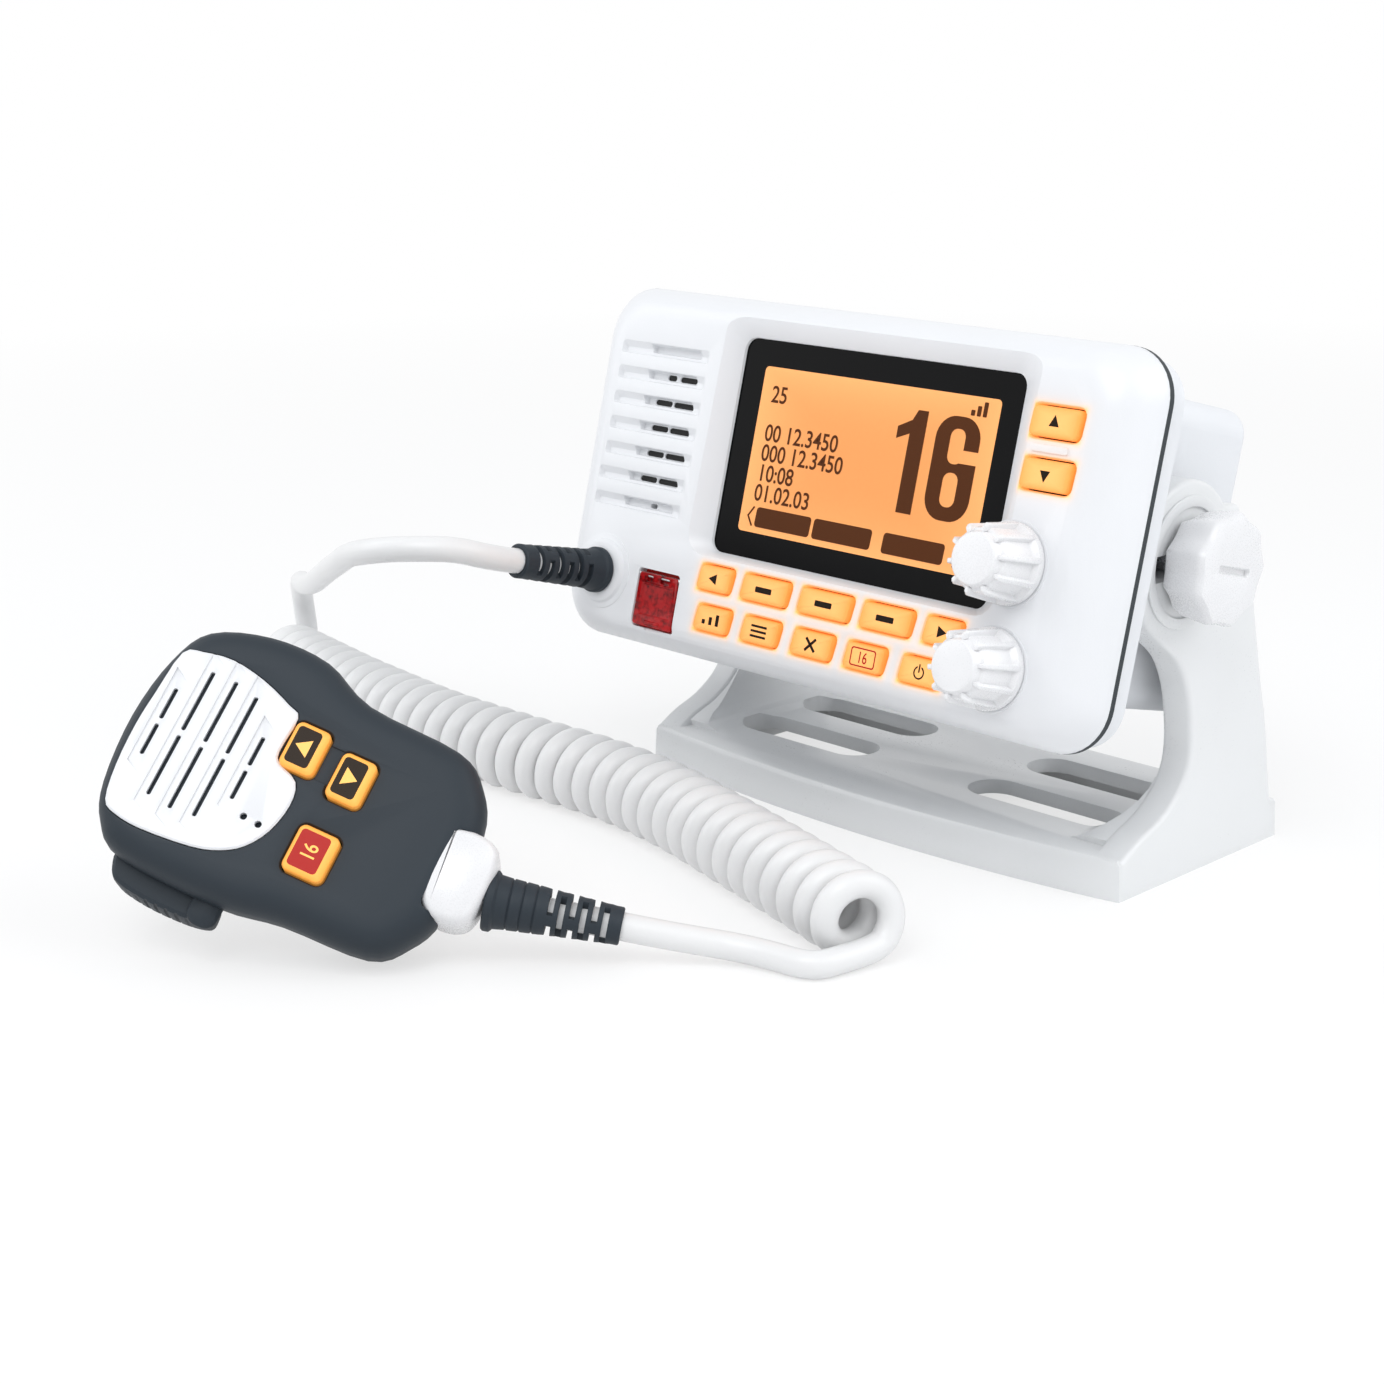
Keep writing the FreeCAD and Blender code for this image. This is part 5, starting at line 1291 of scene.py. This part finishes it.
@dataclass
class Microphone:
    """The hand microphone in its own axes."""

    long: float = 85.3
    wide: float = 63.0
    front: float = 9.0
    back: float = 14.0
    corners: list[Point2] = field(default_factory=lambda: [
        (-0.517, -0.264), (-0.471, -0.404), (-0.379, -0.490), (-0.092, -0.505), (0.092, -0.467), (0.345, -0.448),
        (0.437, -0.342), (0.483, -0.187), (0.483, 0.140), (0.425, 0.303), (0.322, 0.389), (0.046, 0.409),
        (-0.115, 0.495), (-0.287, 0.495), (-0.448, 0.412), (-0.511, 0.249), (-0.535, 0.0)])
    plate_corners: list[Point2] = field(default_factory=lambda: [
        (-0.474, 0.278), (-0.422, 0.313), (-0.338, 0.331), (-0.237, 0.309), (-0.143, 0.263), (-0.105, 0.232),
        (-0.108, 0.090), (-0.090, 0.050), (-0.030, 0.012), (-0.014, -0.076), (-0.031, -0.191), (-0.071, -0.278),
        (-0.126, -0.330), (-0.203, -0.362), (-0.347, -0.379), (-0.428, -0.367), (-0.467, -0.334), (-0.487, -0.202),
        (-0.493, -0.037), (-0.487, 0.103)])
    LEVER: ClassVar[tuple[Point2, ...]] = (
        (-34.4, -28.6), (-34.2, -33.0), (-31.6, -35.8), (-25.0, -37.0), (-18.0, -37.2), (-12.0, -36.8), (-8.2, -35.6),
        (-7.6, -33.0), (-9.0, -29.4), (-16.0, -28.0), (-26.0, -27.0))
    SCREWS: ClassVar[tuple[Point2, ...]] = ((-0.36, 0.3), (-0.36, -0.32), (0.3, 0.24), (0.3, -0.27))
    keys: list[tuple[str, Point2, Point2, str]] = field(default_factory=lambda: [
        ("mic_key_up", (-3.9, 8.5), (8.8, 11.6), "left"), ("mic_key_down", (9.0, 6.3), (8.8, 11.6), "right"),
        ("mic_key_call", (8.5, -13.0), (10.2, 11.6), CALLING)])
    place: Matrix = field(default_factory=STANCE.microphone)

    def outline(self, corners: Sequence[Point2], steps: int = 4) -> list[Point2]:
        """A smooth outline from shares of the length and width."""
        return smoothed([(x * self.long, y * self.wide) for x, y in corners], steps)

    def shrunk(self, amount: float) -> list[Point2]:
        """The outline scaled down so that its ends and sides move in by an amount."""
        return smoothed([(x * (self.long - 2 * amount), y * (self.wide - 2 * amount)) for x, y in self.corners], 4)

    def build(self) -> None:
        """Builds and dresses the whole microphone."""
        self.shells()
        self.plate()
        for key in self.keys:
            self.key(*key)
        self.lever()
        self.collar()
        self.stud_and_screws()

    def shells(self) -> None:
        """The two rubber-covered shells, which part at Z = 0."""
        edge = self.outline(self.corners)
        levels = ((3.2, 0.15), (5.6, 0.8), (7.3, 2.0), (8.3, 3.6), (8.85, 5.6), (self.front, 8.0))
        upper = Bench.loft("front", [(0.05, edge)] + [(z, inset(edge, amount)) for z, amount in levels])
        seat = inset(self.outline(self.plate_corners), -0.25)
        tools = [Bench.slab("plate_seat", seat, self.front - 1.3, self.front + 2)]
        for _, at, size, _ in self.keys:
            hole = rounded(size[0] + 0.7, size[1] + 0.7, 2.0, at, 5)
            tools.append(Bench.loft("hole", [(self.front - 6, hole), (self.front - 0.6, hole),
                                             (self.front + 0.3, inset(hole, -0.6))]))
        tools.append(Bench.slab("inside", inset(edge, 6.0), -1.0, 6.2))
        tools.append(self.collar_notch())
        bridge = rounded(8.0, 9.4, 1.2, (2.7, 7.6), 4)
        tools.append(Bench.loft("bridge", [(self.front - 0.5, inset(bridge, 0.4)), (self.front + 0.5, bridge)]))
        Bench.carve(upper, *tools)
        Bench.bevel(upper, 0.25, 2, 40.0)
        piece(upper, "mic_front_cover", Body.MICROPHONE, DARK_RUBBER.material(self.place), self.place,
              ["mic_front_shell"], 45.0)
        levels = ((-self.back, 7.5), (-self.back + 0.5, 5.2), (-self.back + 2.0, 3.2), (-self.back + 5.0, 1.7),
                  (-6.0, 0.8), (-2.0, 0.25), (-0.6, 0.2), (-0.05, 0.7))
        low = Bench.loft("rear", [(z, self.shrunk(amount)) for z, amount in levels])
        Bench.carve(low, Bench.slab("inside", self.shrunk(9.0), -self.back + 3, 1.0), self.collar_notch())
        Bench.carve(low, Bench.slab("room", inset(smoothed(self.LEVER, 4), -0.4), -13.5, 0.5))
        lug = Bench.loft("lug", [(-0.9, rounded(7.6, 10.4, 3.0, (-9.5, -32.2), 6)),
                                 (-0.2, rounded(7.4, 10.2, 3.0, (-9.5, -32.2), 6)),
                                 (0.5, rounded(6.0, 9.0, 2.4, (-9.5, -32.0), 6))])
        Bench.carve(low, lug, keep="UNION")
        Bench.bevel(low, 0.3, 2, 45.0)
        piece(low, "mic_rear_cover", Body.MICROPHONE, DARK_RUBBER.material(self.place), self.place,
              ["mic_rear_shell"], 45.0)

    def collar_notch(self) -> bpy.types.Object:
        """The room that the collar takes out of both shells."""
        return Bench.slab("notch", rounded(30.0, 20.4, 2.0, (50.6, -3.0), 4), -20, 20)

    def plate(self) -> None:
        """The white face plate with stepped ridges and slits, and the two small sound holes."""
        edge = self.outline(self.plate_corners, 3)
        top = self.front + 0.4
        plate = Bench.loft("plate", [(self.front - 1.2, edge), (top - 0.3, edge), (top, inset(edge, 0.5))])
        tools = []
        for i in range(5):
            x = -37.6 + i * 5.9
            middle, reach = (0.5 - i * 0.35), (8.0, 15.5, 16.0, 15.0, 7.4)[i]
            for sign in (-1, 1):
                at = (x, middle + sign * (reach / 2 + 0.7))
                tools.append(Bench.slab("slit", rounded(1.15, reach, 0.45, at, 3), self.front - 3, top + 1))
            low, high = middle - reach, middle + reach
            ridge = [(x - 2.2, low - 3.2), (x + 2.4, low - 5.4), (x + 2.4, high + 2.6), (x - 2.2, high + 5.4)]
            foot = [ridge[0], (x - 2.0, low - 3.2), (x - 2.0, high + 5.2), ridge[3]]
            tools.append(Bench.loft("ridge", [(top - 0.55, foot), (top + 0.01, ridge)]))
        for x, y in ((-9.5, -11.5), (-5.6, -11.8)):
            tools.append(Bench.slab("sound_hole", rounded(1.7, 1.7, 0.8, (x, y), 5), self.front - 3, top + 1))
        Bench.carve(plate, *tools)
        piece(Bench.bevel(plate, 0.12, 2, 40.0), "mic_plate", Body.MICROPHONE, MOULDING.material(self.place),
              self.place, ["mic_face_plate"], 30.0)
        # A near-black sheet behind the plate's slits: painted shade for the dark inside of the microphone.
        grille = Bench.slab("grille", rounded(34, 36, 8.0, (-25.0, 0.0), 6), self.front - 4.0, self.front - 3.2)
        piece(grille, "mic_grille_shade_sheet", Body.MICROPHONE, DARK.material(), self.place)

    def key(self, name: str, at: Point2, size: Point2, mark: str) -> None:
        """A lit key with an inset cap and its sign.

        Args:
            name: The key's node and body.
            at: Its middle.
            size: Its width and height.
            mark: The sign on its cap.
        """
        top = self.front + 1.5
        wide = rounded(size[0], size[1], 1.7, at, 5)
        button = Bench.loft(name, [(self.front - 5.5, wide), (top - 0.8, wide), (top - 0.25, inset(wide, 0.25)),
                                   (top, inset(wide, 0.8))])
        look = Lit(name + "_amber", at, (size[0] / 2, size[1] / 2), (0.95, 0.50, 0.13), (0.85, 0.33, 0.05), 0.3)
        piece(button, name + "_button", name, look.material(self.place), self.place, [name])
        middle = (at[0] - 0.5, at[1] + 0.2)
        cap = Bench.loft("cap", [(top - 0.2, rounded(size[0] - 2.6, size[1] - 2.2, 1.0, middle, 4)),
                                 (top + 0.1, rounded(size[0] - 3.0, size[1] - 2.6, 0.9, middle, 4))])
        calling = mark == CALLING
        finish, slot = (RED_CAP, "red_clear") if calling else (DARK_CAP, "black_plastic")
        piece(cap, name + "_cap", name, finish.material(), self.place)
        if calling:
            sign = Bench.digits("sign", mark, 3.6, 0.8, 0.012)
            sign.data.transform(Matrix.Rotation(math.pi / 2, 4, "Z") @ Matrix.Translation((-2.1, -1.8, 0)))
        else:
            turn = 0.0 if mark == "right" else math.pi
            sign = flat([(2.0, 0), (-1.5, 2.2), (-1.5, -2.2)], "sign", 0.0, 0.02)
            sign.data.transform(Matrix.Rotation(turn, 4, "Z"))
        Bench.shift(sign, *middle, top + 0.13)
        piece(sign, name + "_sign", name, GLYPH.material(), self.place)

    def lever(self) -> None:
        """The ribbed push-to-talk lever."""
        outline = smoothed(self.LEVER, 4)
        grip = Bench.loft("lever", [(-13.0, inset(outline, 1.2)), (-12.2, inset(outline, 0.3)), (-10.0, outline),
                                    (-4.0, outline), (-1.8, inset(outline, 0.3)), (-1.0, inset(outline, 1.2))])
        spots = [(-31.0 + i * 2.6, -37.4 - 0.25 * (i > 1)) for i in range(8)]
        Bench.carve(grip, *(Bench.slab("groove", rounded(1.0, 2.2, 0.45, spot, 3), -14, 0) for spot in spots))
        piece(Bench.bevel(grip, 0.25, 2, 40.0), "ptt_grip", "ptt_lever", DARK_RUBBER.material(self.place),
              self.place, ["ptt_lever"])

    def collar(self) -> None:
        """The white collar between the shells and the strain relief."""
        outline = [(33.8, -8.5), (37.6, -13.7), (44.2, -13.7), (47.9, -9.6), (47.9, 3.2), (44.2, 7.7), (36.0, 7.7),
                   (33.8, 5.0)]
        edge = smoothed(outline, 4)
        body = Bench.loft("collar", [(-8.8, inset(edge, 1.6)), (-7.6, inset(edge, 0.6)), (-4.8, edge), (4.8, edge),
                                     (7.2, inset(edge, 0.4)), (8.3, inset(edge, 1.0)), (9.0, inset(edge, 2.0))])
        piece(body, "mic_collar_moulding", Body.MICROPHONE, KNOB.material(), self.place,
              ["mic_collar"], 50.0)

    def stud_and_screws(self) -> None:
        """The hanger stud and screw heads on the back."""
        low = -self.back - 4.0
        stud = Bench.turned("stud", [(0, low), (6.3, low), (7.0, low + 0.6), (7.0, low + 1.6), (6.4, low + 2.0),
                                     (4.0, low + 2.1), (4.0, low + 4.3), (0, low + 4.3)], 48)
        Bench.shift(stud, -8, 0)
        piece(stud, "mic_hanger", Body.MICROPHONE, BLACK.material(), self.place, ["mic_hanger_stud"])
        head = Bench.turned("head", [(0, 0.1), (2.5, 0.1), (2.6, 0.6), (2.6, 1.5), (0, 1.5)], 32)
        Bench.crossed(head, Bench.slab("arm", rounded(2.8, 0.7, 0.1, steps=2), -1, 0.8))
        spots = [Matrix.Translation((x * self.long, y * self.wide, -self.back)) for x, y in self.SCREWS]
        heads = Bench.join("heads", Bench.copies(head, spots))
        piece(heads, "mic_screw_heads", Body.MICROPHONE, STEEL.material(), self.place, ["mic_screws"])


@dataclass
class Cord:
    """The white cord: a lead from the radio, the curls, and a lead to the microphone."""

    round: float = 3.35
    coil_round: float = 7.9
    turns: float = 37.25
    per_turn: int = 14
    height: float = 11.4
    axis: list[Point2] = field(default_factory=lambda: [
        (-219, -69), (-193, -74), (-164, -79), (-125, -84), (-90, -84.5), (-55, -82), (-25, -85.5), (8, -94.5),
        (36, -102.5), (65, -111)])
    radio_lead: list[Point3] = field(default_factory=lambda: [
        (-67.0, -101.3, 72.9), (-67.0, -110.5, 75.3), (-69.1, -119.8, 78.7), (-74.9, -127.4, 79.1),
        (-83.3, -131.8, 78.3), (-92.8, -132.2, 76.1), (-105.0, -127.5, 72.7),
        (-120.0, -119.5, 67.0), (-145.0, -106.0, 57.8),
        (-170.0, -93.0, 47.5), (-187.0, -84.0, 43.0), (-200.0, -76.0, 40.5), (-210.0, -69.0, 36.5),
        (-216.8, -63.9, 32.2), (-219.9, -61.2, 26.1), (-218.7, -61.0, 18.0)])
    mic_lead: list[Point3] = field(default_factory=lambda: [
        (63.5, -117.5, 3.45), (61.6, -125.8, 3.4), (50.5, -127.3, 3.45), (42.5, -130.5, 4.1), (35.5, -137.3, 5.8),
        (29.2, -143.9, 7.6), (23.3, -149.1, 9.1)])

    def spline(self, name: str, points: Sequence[Point3], steps: int) -> bpy.types.Object:
        """A smooth open curve led by points.

        Args:
            name: The object's name.
            points: The control points, in metres.
            steps: Points for each span.

        Returns:
            The curve.
        """
        data = bpy.data.curves.new(name, "CURVE")
        data.dimensions = "3D"
        data.resolution_u = steps
        line = data.splines.new("NURBS")
        line.points.add(len(points) - 1)
        for knot, spot in zip(line.points, points):
            knot.co = (*spot, 1.0)
        line.order_u = 3
        line.use_endpoint_u = True
        obj = bpy.data.objects.new(name, data)
        bpy.context.scene.collection.objects.link(obj)
        return obj

    def curls(self) -> list[Point3]:
        """The helix's points round the sampled axis, in millimetres."""
        guide = self.spline("guide", [(x, y, self.height) for x, y in self.axis], 24)
        mesh = bpy.data.meshes.new_from_object(guide)
        spots = [vertex.co.copy() for vertex in mesh.vertices]
        bpy.data.objects.remove(guide)
        bpy.data.meshes.remove(mesh)
        reach = [0.0]
        for before, after in zip(spots, spots[1:]):
            reach.append(reach[-1] + (after - before).length)
        swell = 1.0 / math.cos(math.pi / self.per_turn)
        count = int(self.turns * self.per_turn)
        points = []
        for i in range(count + 1):
            done = reach[-1] * i / count
            at = next(k for k in range(1, len(reach)) if reach[k] >= done - 1e-9)
            share = (done - reach[at - 1]) / (reach[at] - reach[at - 1])
            centre = spots[at - 1].lerp(spots[at], share)
            ahead = (spots[at] - spots[at - 1]).normalized()
            back = Vector((0, 0, 1)).cross(ahead)
            angle = math.tau * (self.turns * i / count + 0.25)
            offset = (Vector((0, 0, 1)) * math.cos(angle) + back * math.sin(angle)) * self.coil_round * swell
            points.append(tuple(centre + offset))
        return points

    def build(self) -> None:
        route = self.radio_lead + self.curls()[1:-1] + self.mic_lead
        points = [tuple(part * MM for part in spot) for spot in route]
        cord = self.spline("microphone_cord", points, 5)
        cord.data.bevel_depth = self.round * MM
        cord.data.bevel_resolution = 4
        cord.data.use_fill_caps = True
        cord.data.materials.append(JACKET.material())
        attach(cord, Body.BRACKET.value)
        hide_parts("radio_lead", "coil_cord", "mic_lead")
        LOG.info("cord with %d control points", len(points))


KEPT = {
    "pivot_pads": SEAL, "bezel_gasket": SEAL, "rear_case": CASE, "side_inserts": BRASS, "key_mat": SEAL,
    "front_board": BOARD, "main_board": BOARD, "front_speaker": PAPER, "channel_encoder": BLACK,
    "volume_encoder": BLACK, "distress_pin": STEEL, "heat_sink": ALUMINIUM, "clamp_washer_left": STEEL,
    "clamp_washer_right": STEEL, "clamp_stud_left": STEEL, "clamp_stud_right": STEEL, "mic_speaker": PAPER,
    "mic_board": BOARD, "mic_element": ALUMINIUM, "ptt_pin": STEEL,
}


def dress_kept() -> None:
    """Gives the solids that stay their finishes."""
    made = {finish: finish.material() for finish in dict.fromkeys(KEPT.values())}
    for name, finish in KEPT.items():
        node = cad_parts[name]
        if not node.data.materials:
            node.data.materials.append(made[finish])
        for i in range(len(node.data.materials)):
            node.data.materials[i] = made[finish]
        LOG.info("%s keeps its solid", name)


@dataclass
class Studio:
    """The camera, the lamps, the floor and the world."""

    eye: Point3 = (0.3982, -0.4998, 0.2156)
    azimuth: float = 45.1
    elevation: float = 16.3
    focal: float = 2380.7
    picture: float = 1384.0
    sensor: float = 36.0
    LAMPS: ClassVar[tuple[tuple[str, Point3, float, float], ...]] = (
        ("key_lamp", (0.35, -0.85, 1.1), 0.8, 7.4), ("fill_lamp", (-0.9, -0.7, 0.7), 1.0, 4.2),
        ("rim_lamp", (0.8, 0.3, 0.7), 0.8, 4.2))

    def camera(self) -> None:
        """The camera at the photograph's place and angle."""
        data = bpy.data.cameras.new("camera")
        data.sensor_width = self.sensor
        data.lens = self.focal / self.picture * self.sensor
        data.clip_start = 0.01
        obj = bpy.data.objects.new("camera", data)
        turn, rise = math.radians(self.azimuth), math.radians(self.elevation)
        ahead = Vector((-math.sin(turn) * math.cos(rise), math.cos(turn) * math.cos(rise), -math.sin(rise)))
        obj.rotation_euler = ahead.to_track_quat("-Z", "Y").to_euler()
        obj.location = self.eye
        bpy.context.scene.collection.objects.link(obj)
        bpy.context.scene.camera = obj

    def lamp(self, name: str, at: Point3, size: float, power: float) -> None:
        """A soft square lamp aimed at the radio."""
        data = bpy.data.lights.new(name, "AREA")
        data.size = size
        data.energy = power
        obj = bpy.data.objects.new(name, data)
        obj.location = at
        obj.rotation_euler = (Vector((-0.05, -0.06, 0.06)) - Vector(at)).to_track_quat("-Z", "Y").to_euler()
        bpy.context.scene.collection.objects.link(obj)

    def seen_white(self, tree: bpy.types.NodeTree, shader: bpy.types.NodeSocket, share: Number) -> bpy.types.NodeSocket:
        """Mixes in plain white for the camera, reflections and clear things.

        Args:
            tree: The node tree.
            shader: The shader that lights and shades.
            share: How much white the mix has.

        Returns:
            The mixed shader.
        """
        path = tree.nodes.new("ShaderNodeLightPath")
        seen = Wire(tree, path.outputs["Is Camera Ray"])
        for name in ("Is Glossy Ray", "Is Transmission Ray"):
            seen = seen.most(Wire(tree, path.outputs[name]))
        white = tree.nodes.new("ShaderNodeEmission" if shader.node.type != "BACKGROUND" else "ShaderNodeBackground")
        white.inputs[0].default_value = (1, 1, 1, 1)
        white.inputs[1].default_value = 1.0
        mix = tree.nodes.new("ShaderNodeMixShader")
        (seen * share).feed(mix.inputs[0])
        tree.links.new(shader, mix.inputs[1])
        tree.links.new(white.outputs[0], mix.inputs[2])
        return mix.outputs[0]

    def build(self) -> None:
        """Sets up camera, light and floor."""
        self.camera()
        for lamp in self.LAMPS:
            self.lamp(*lamp)
        bpy.ops.object.select_all(action="DESELECT")
        bpy.ops.mesh.primitive_plane_add(size=12.0)
        floor = Bench.fresh("floor")
        shop = NodeShop("floor_white")
        shop.set("Base Color", (0.93, 0.93, 0.93, 1))
        shop.set("Roughness", 0.7)
        out = shop.tree.nodes["Material Output"]
        coords = shop.node("ShaderNodeTexCoord").outputs["Object"]
        away = shop.wire(shop.node("ShaderNodeVectorMath", {"operation": "LENGTH"}, Vector=coords).outputs["Value"])
        share = ((away - 0.25) * 1.2).most(0.0).least(1.0) * 0.35 + 0.65
        shop.tree.links.new(self.seen_white(shop.tree, shop.shader.outputs[0], share), out.inputs["Surface"])
        floor.data.materials.append(shop.material)
        world = bpy.data.worlds.new("studio")
        bpy.context.scene.world = world
        world.use_nodes = True
        back = world.node_tree.nodes["Background"]
        back.inputs[0].default_value = (0.93, 0.96, 1.0, 1)
        back.inputs[1].default_value = 0.6
        out = world.node_tree.nodes["World Output"]
        world.node_tree.links.new(self.seen_white(world.node_tree, back.outputs[0], 1.0), out.inputs["Surface"])
        bpy.context.scene.view_settings.view_transform = "Standard"


def main() -> None:
    """Builds everything in order."""
    logging.basicConfig(level=logging.INFO, format="%(name)s: %(message)s")
    Studio().build()
    Cord().build()
    dress_kept()
    Mount().build()
    panel = Panel()
    panel.build()
    Casing().build()
    Microphone().build()
    relief_foot = Matrix.Translation((*panel.gland_at, panel.face + panel.gland_proud))
    Relief("radio_relief_sleeve", Body.RADIO, "radio_strain_relief", STANCE.panel() @ relief_foot,
           30.0, 5.6, 4.6, 6.2, 6.0).build()
    mic_foot = (Matrix.Translation((48.0, -4.0, 0)) @ Matrix.Rotation(math.radians(13.6), 4, "Z")
                @ Matrix.Rotation(math.pi / 2, 4, "Y"))
    Relief("mic_relief_sleeve", Body.MICROPHONE, "mic_strain_relief", STANCE.microphone() @ mic_foot,
           32.0, 6.4, 4.5, 7.2, 14.0).build()


if __name__ == "__main__":
    main()
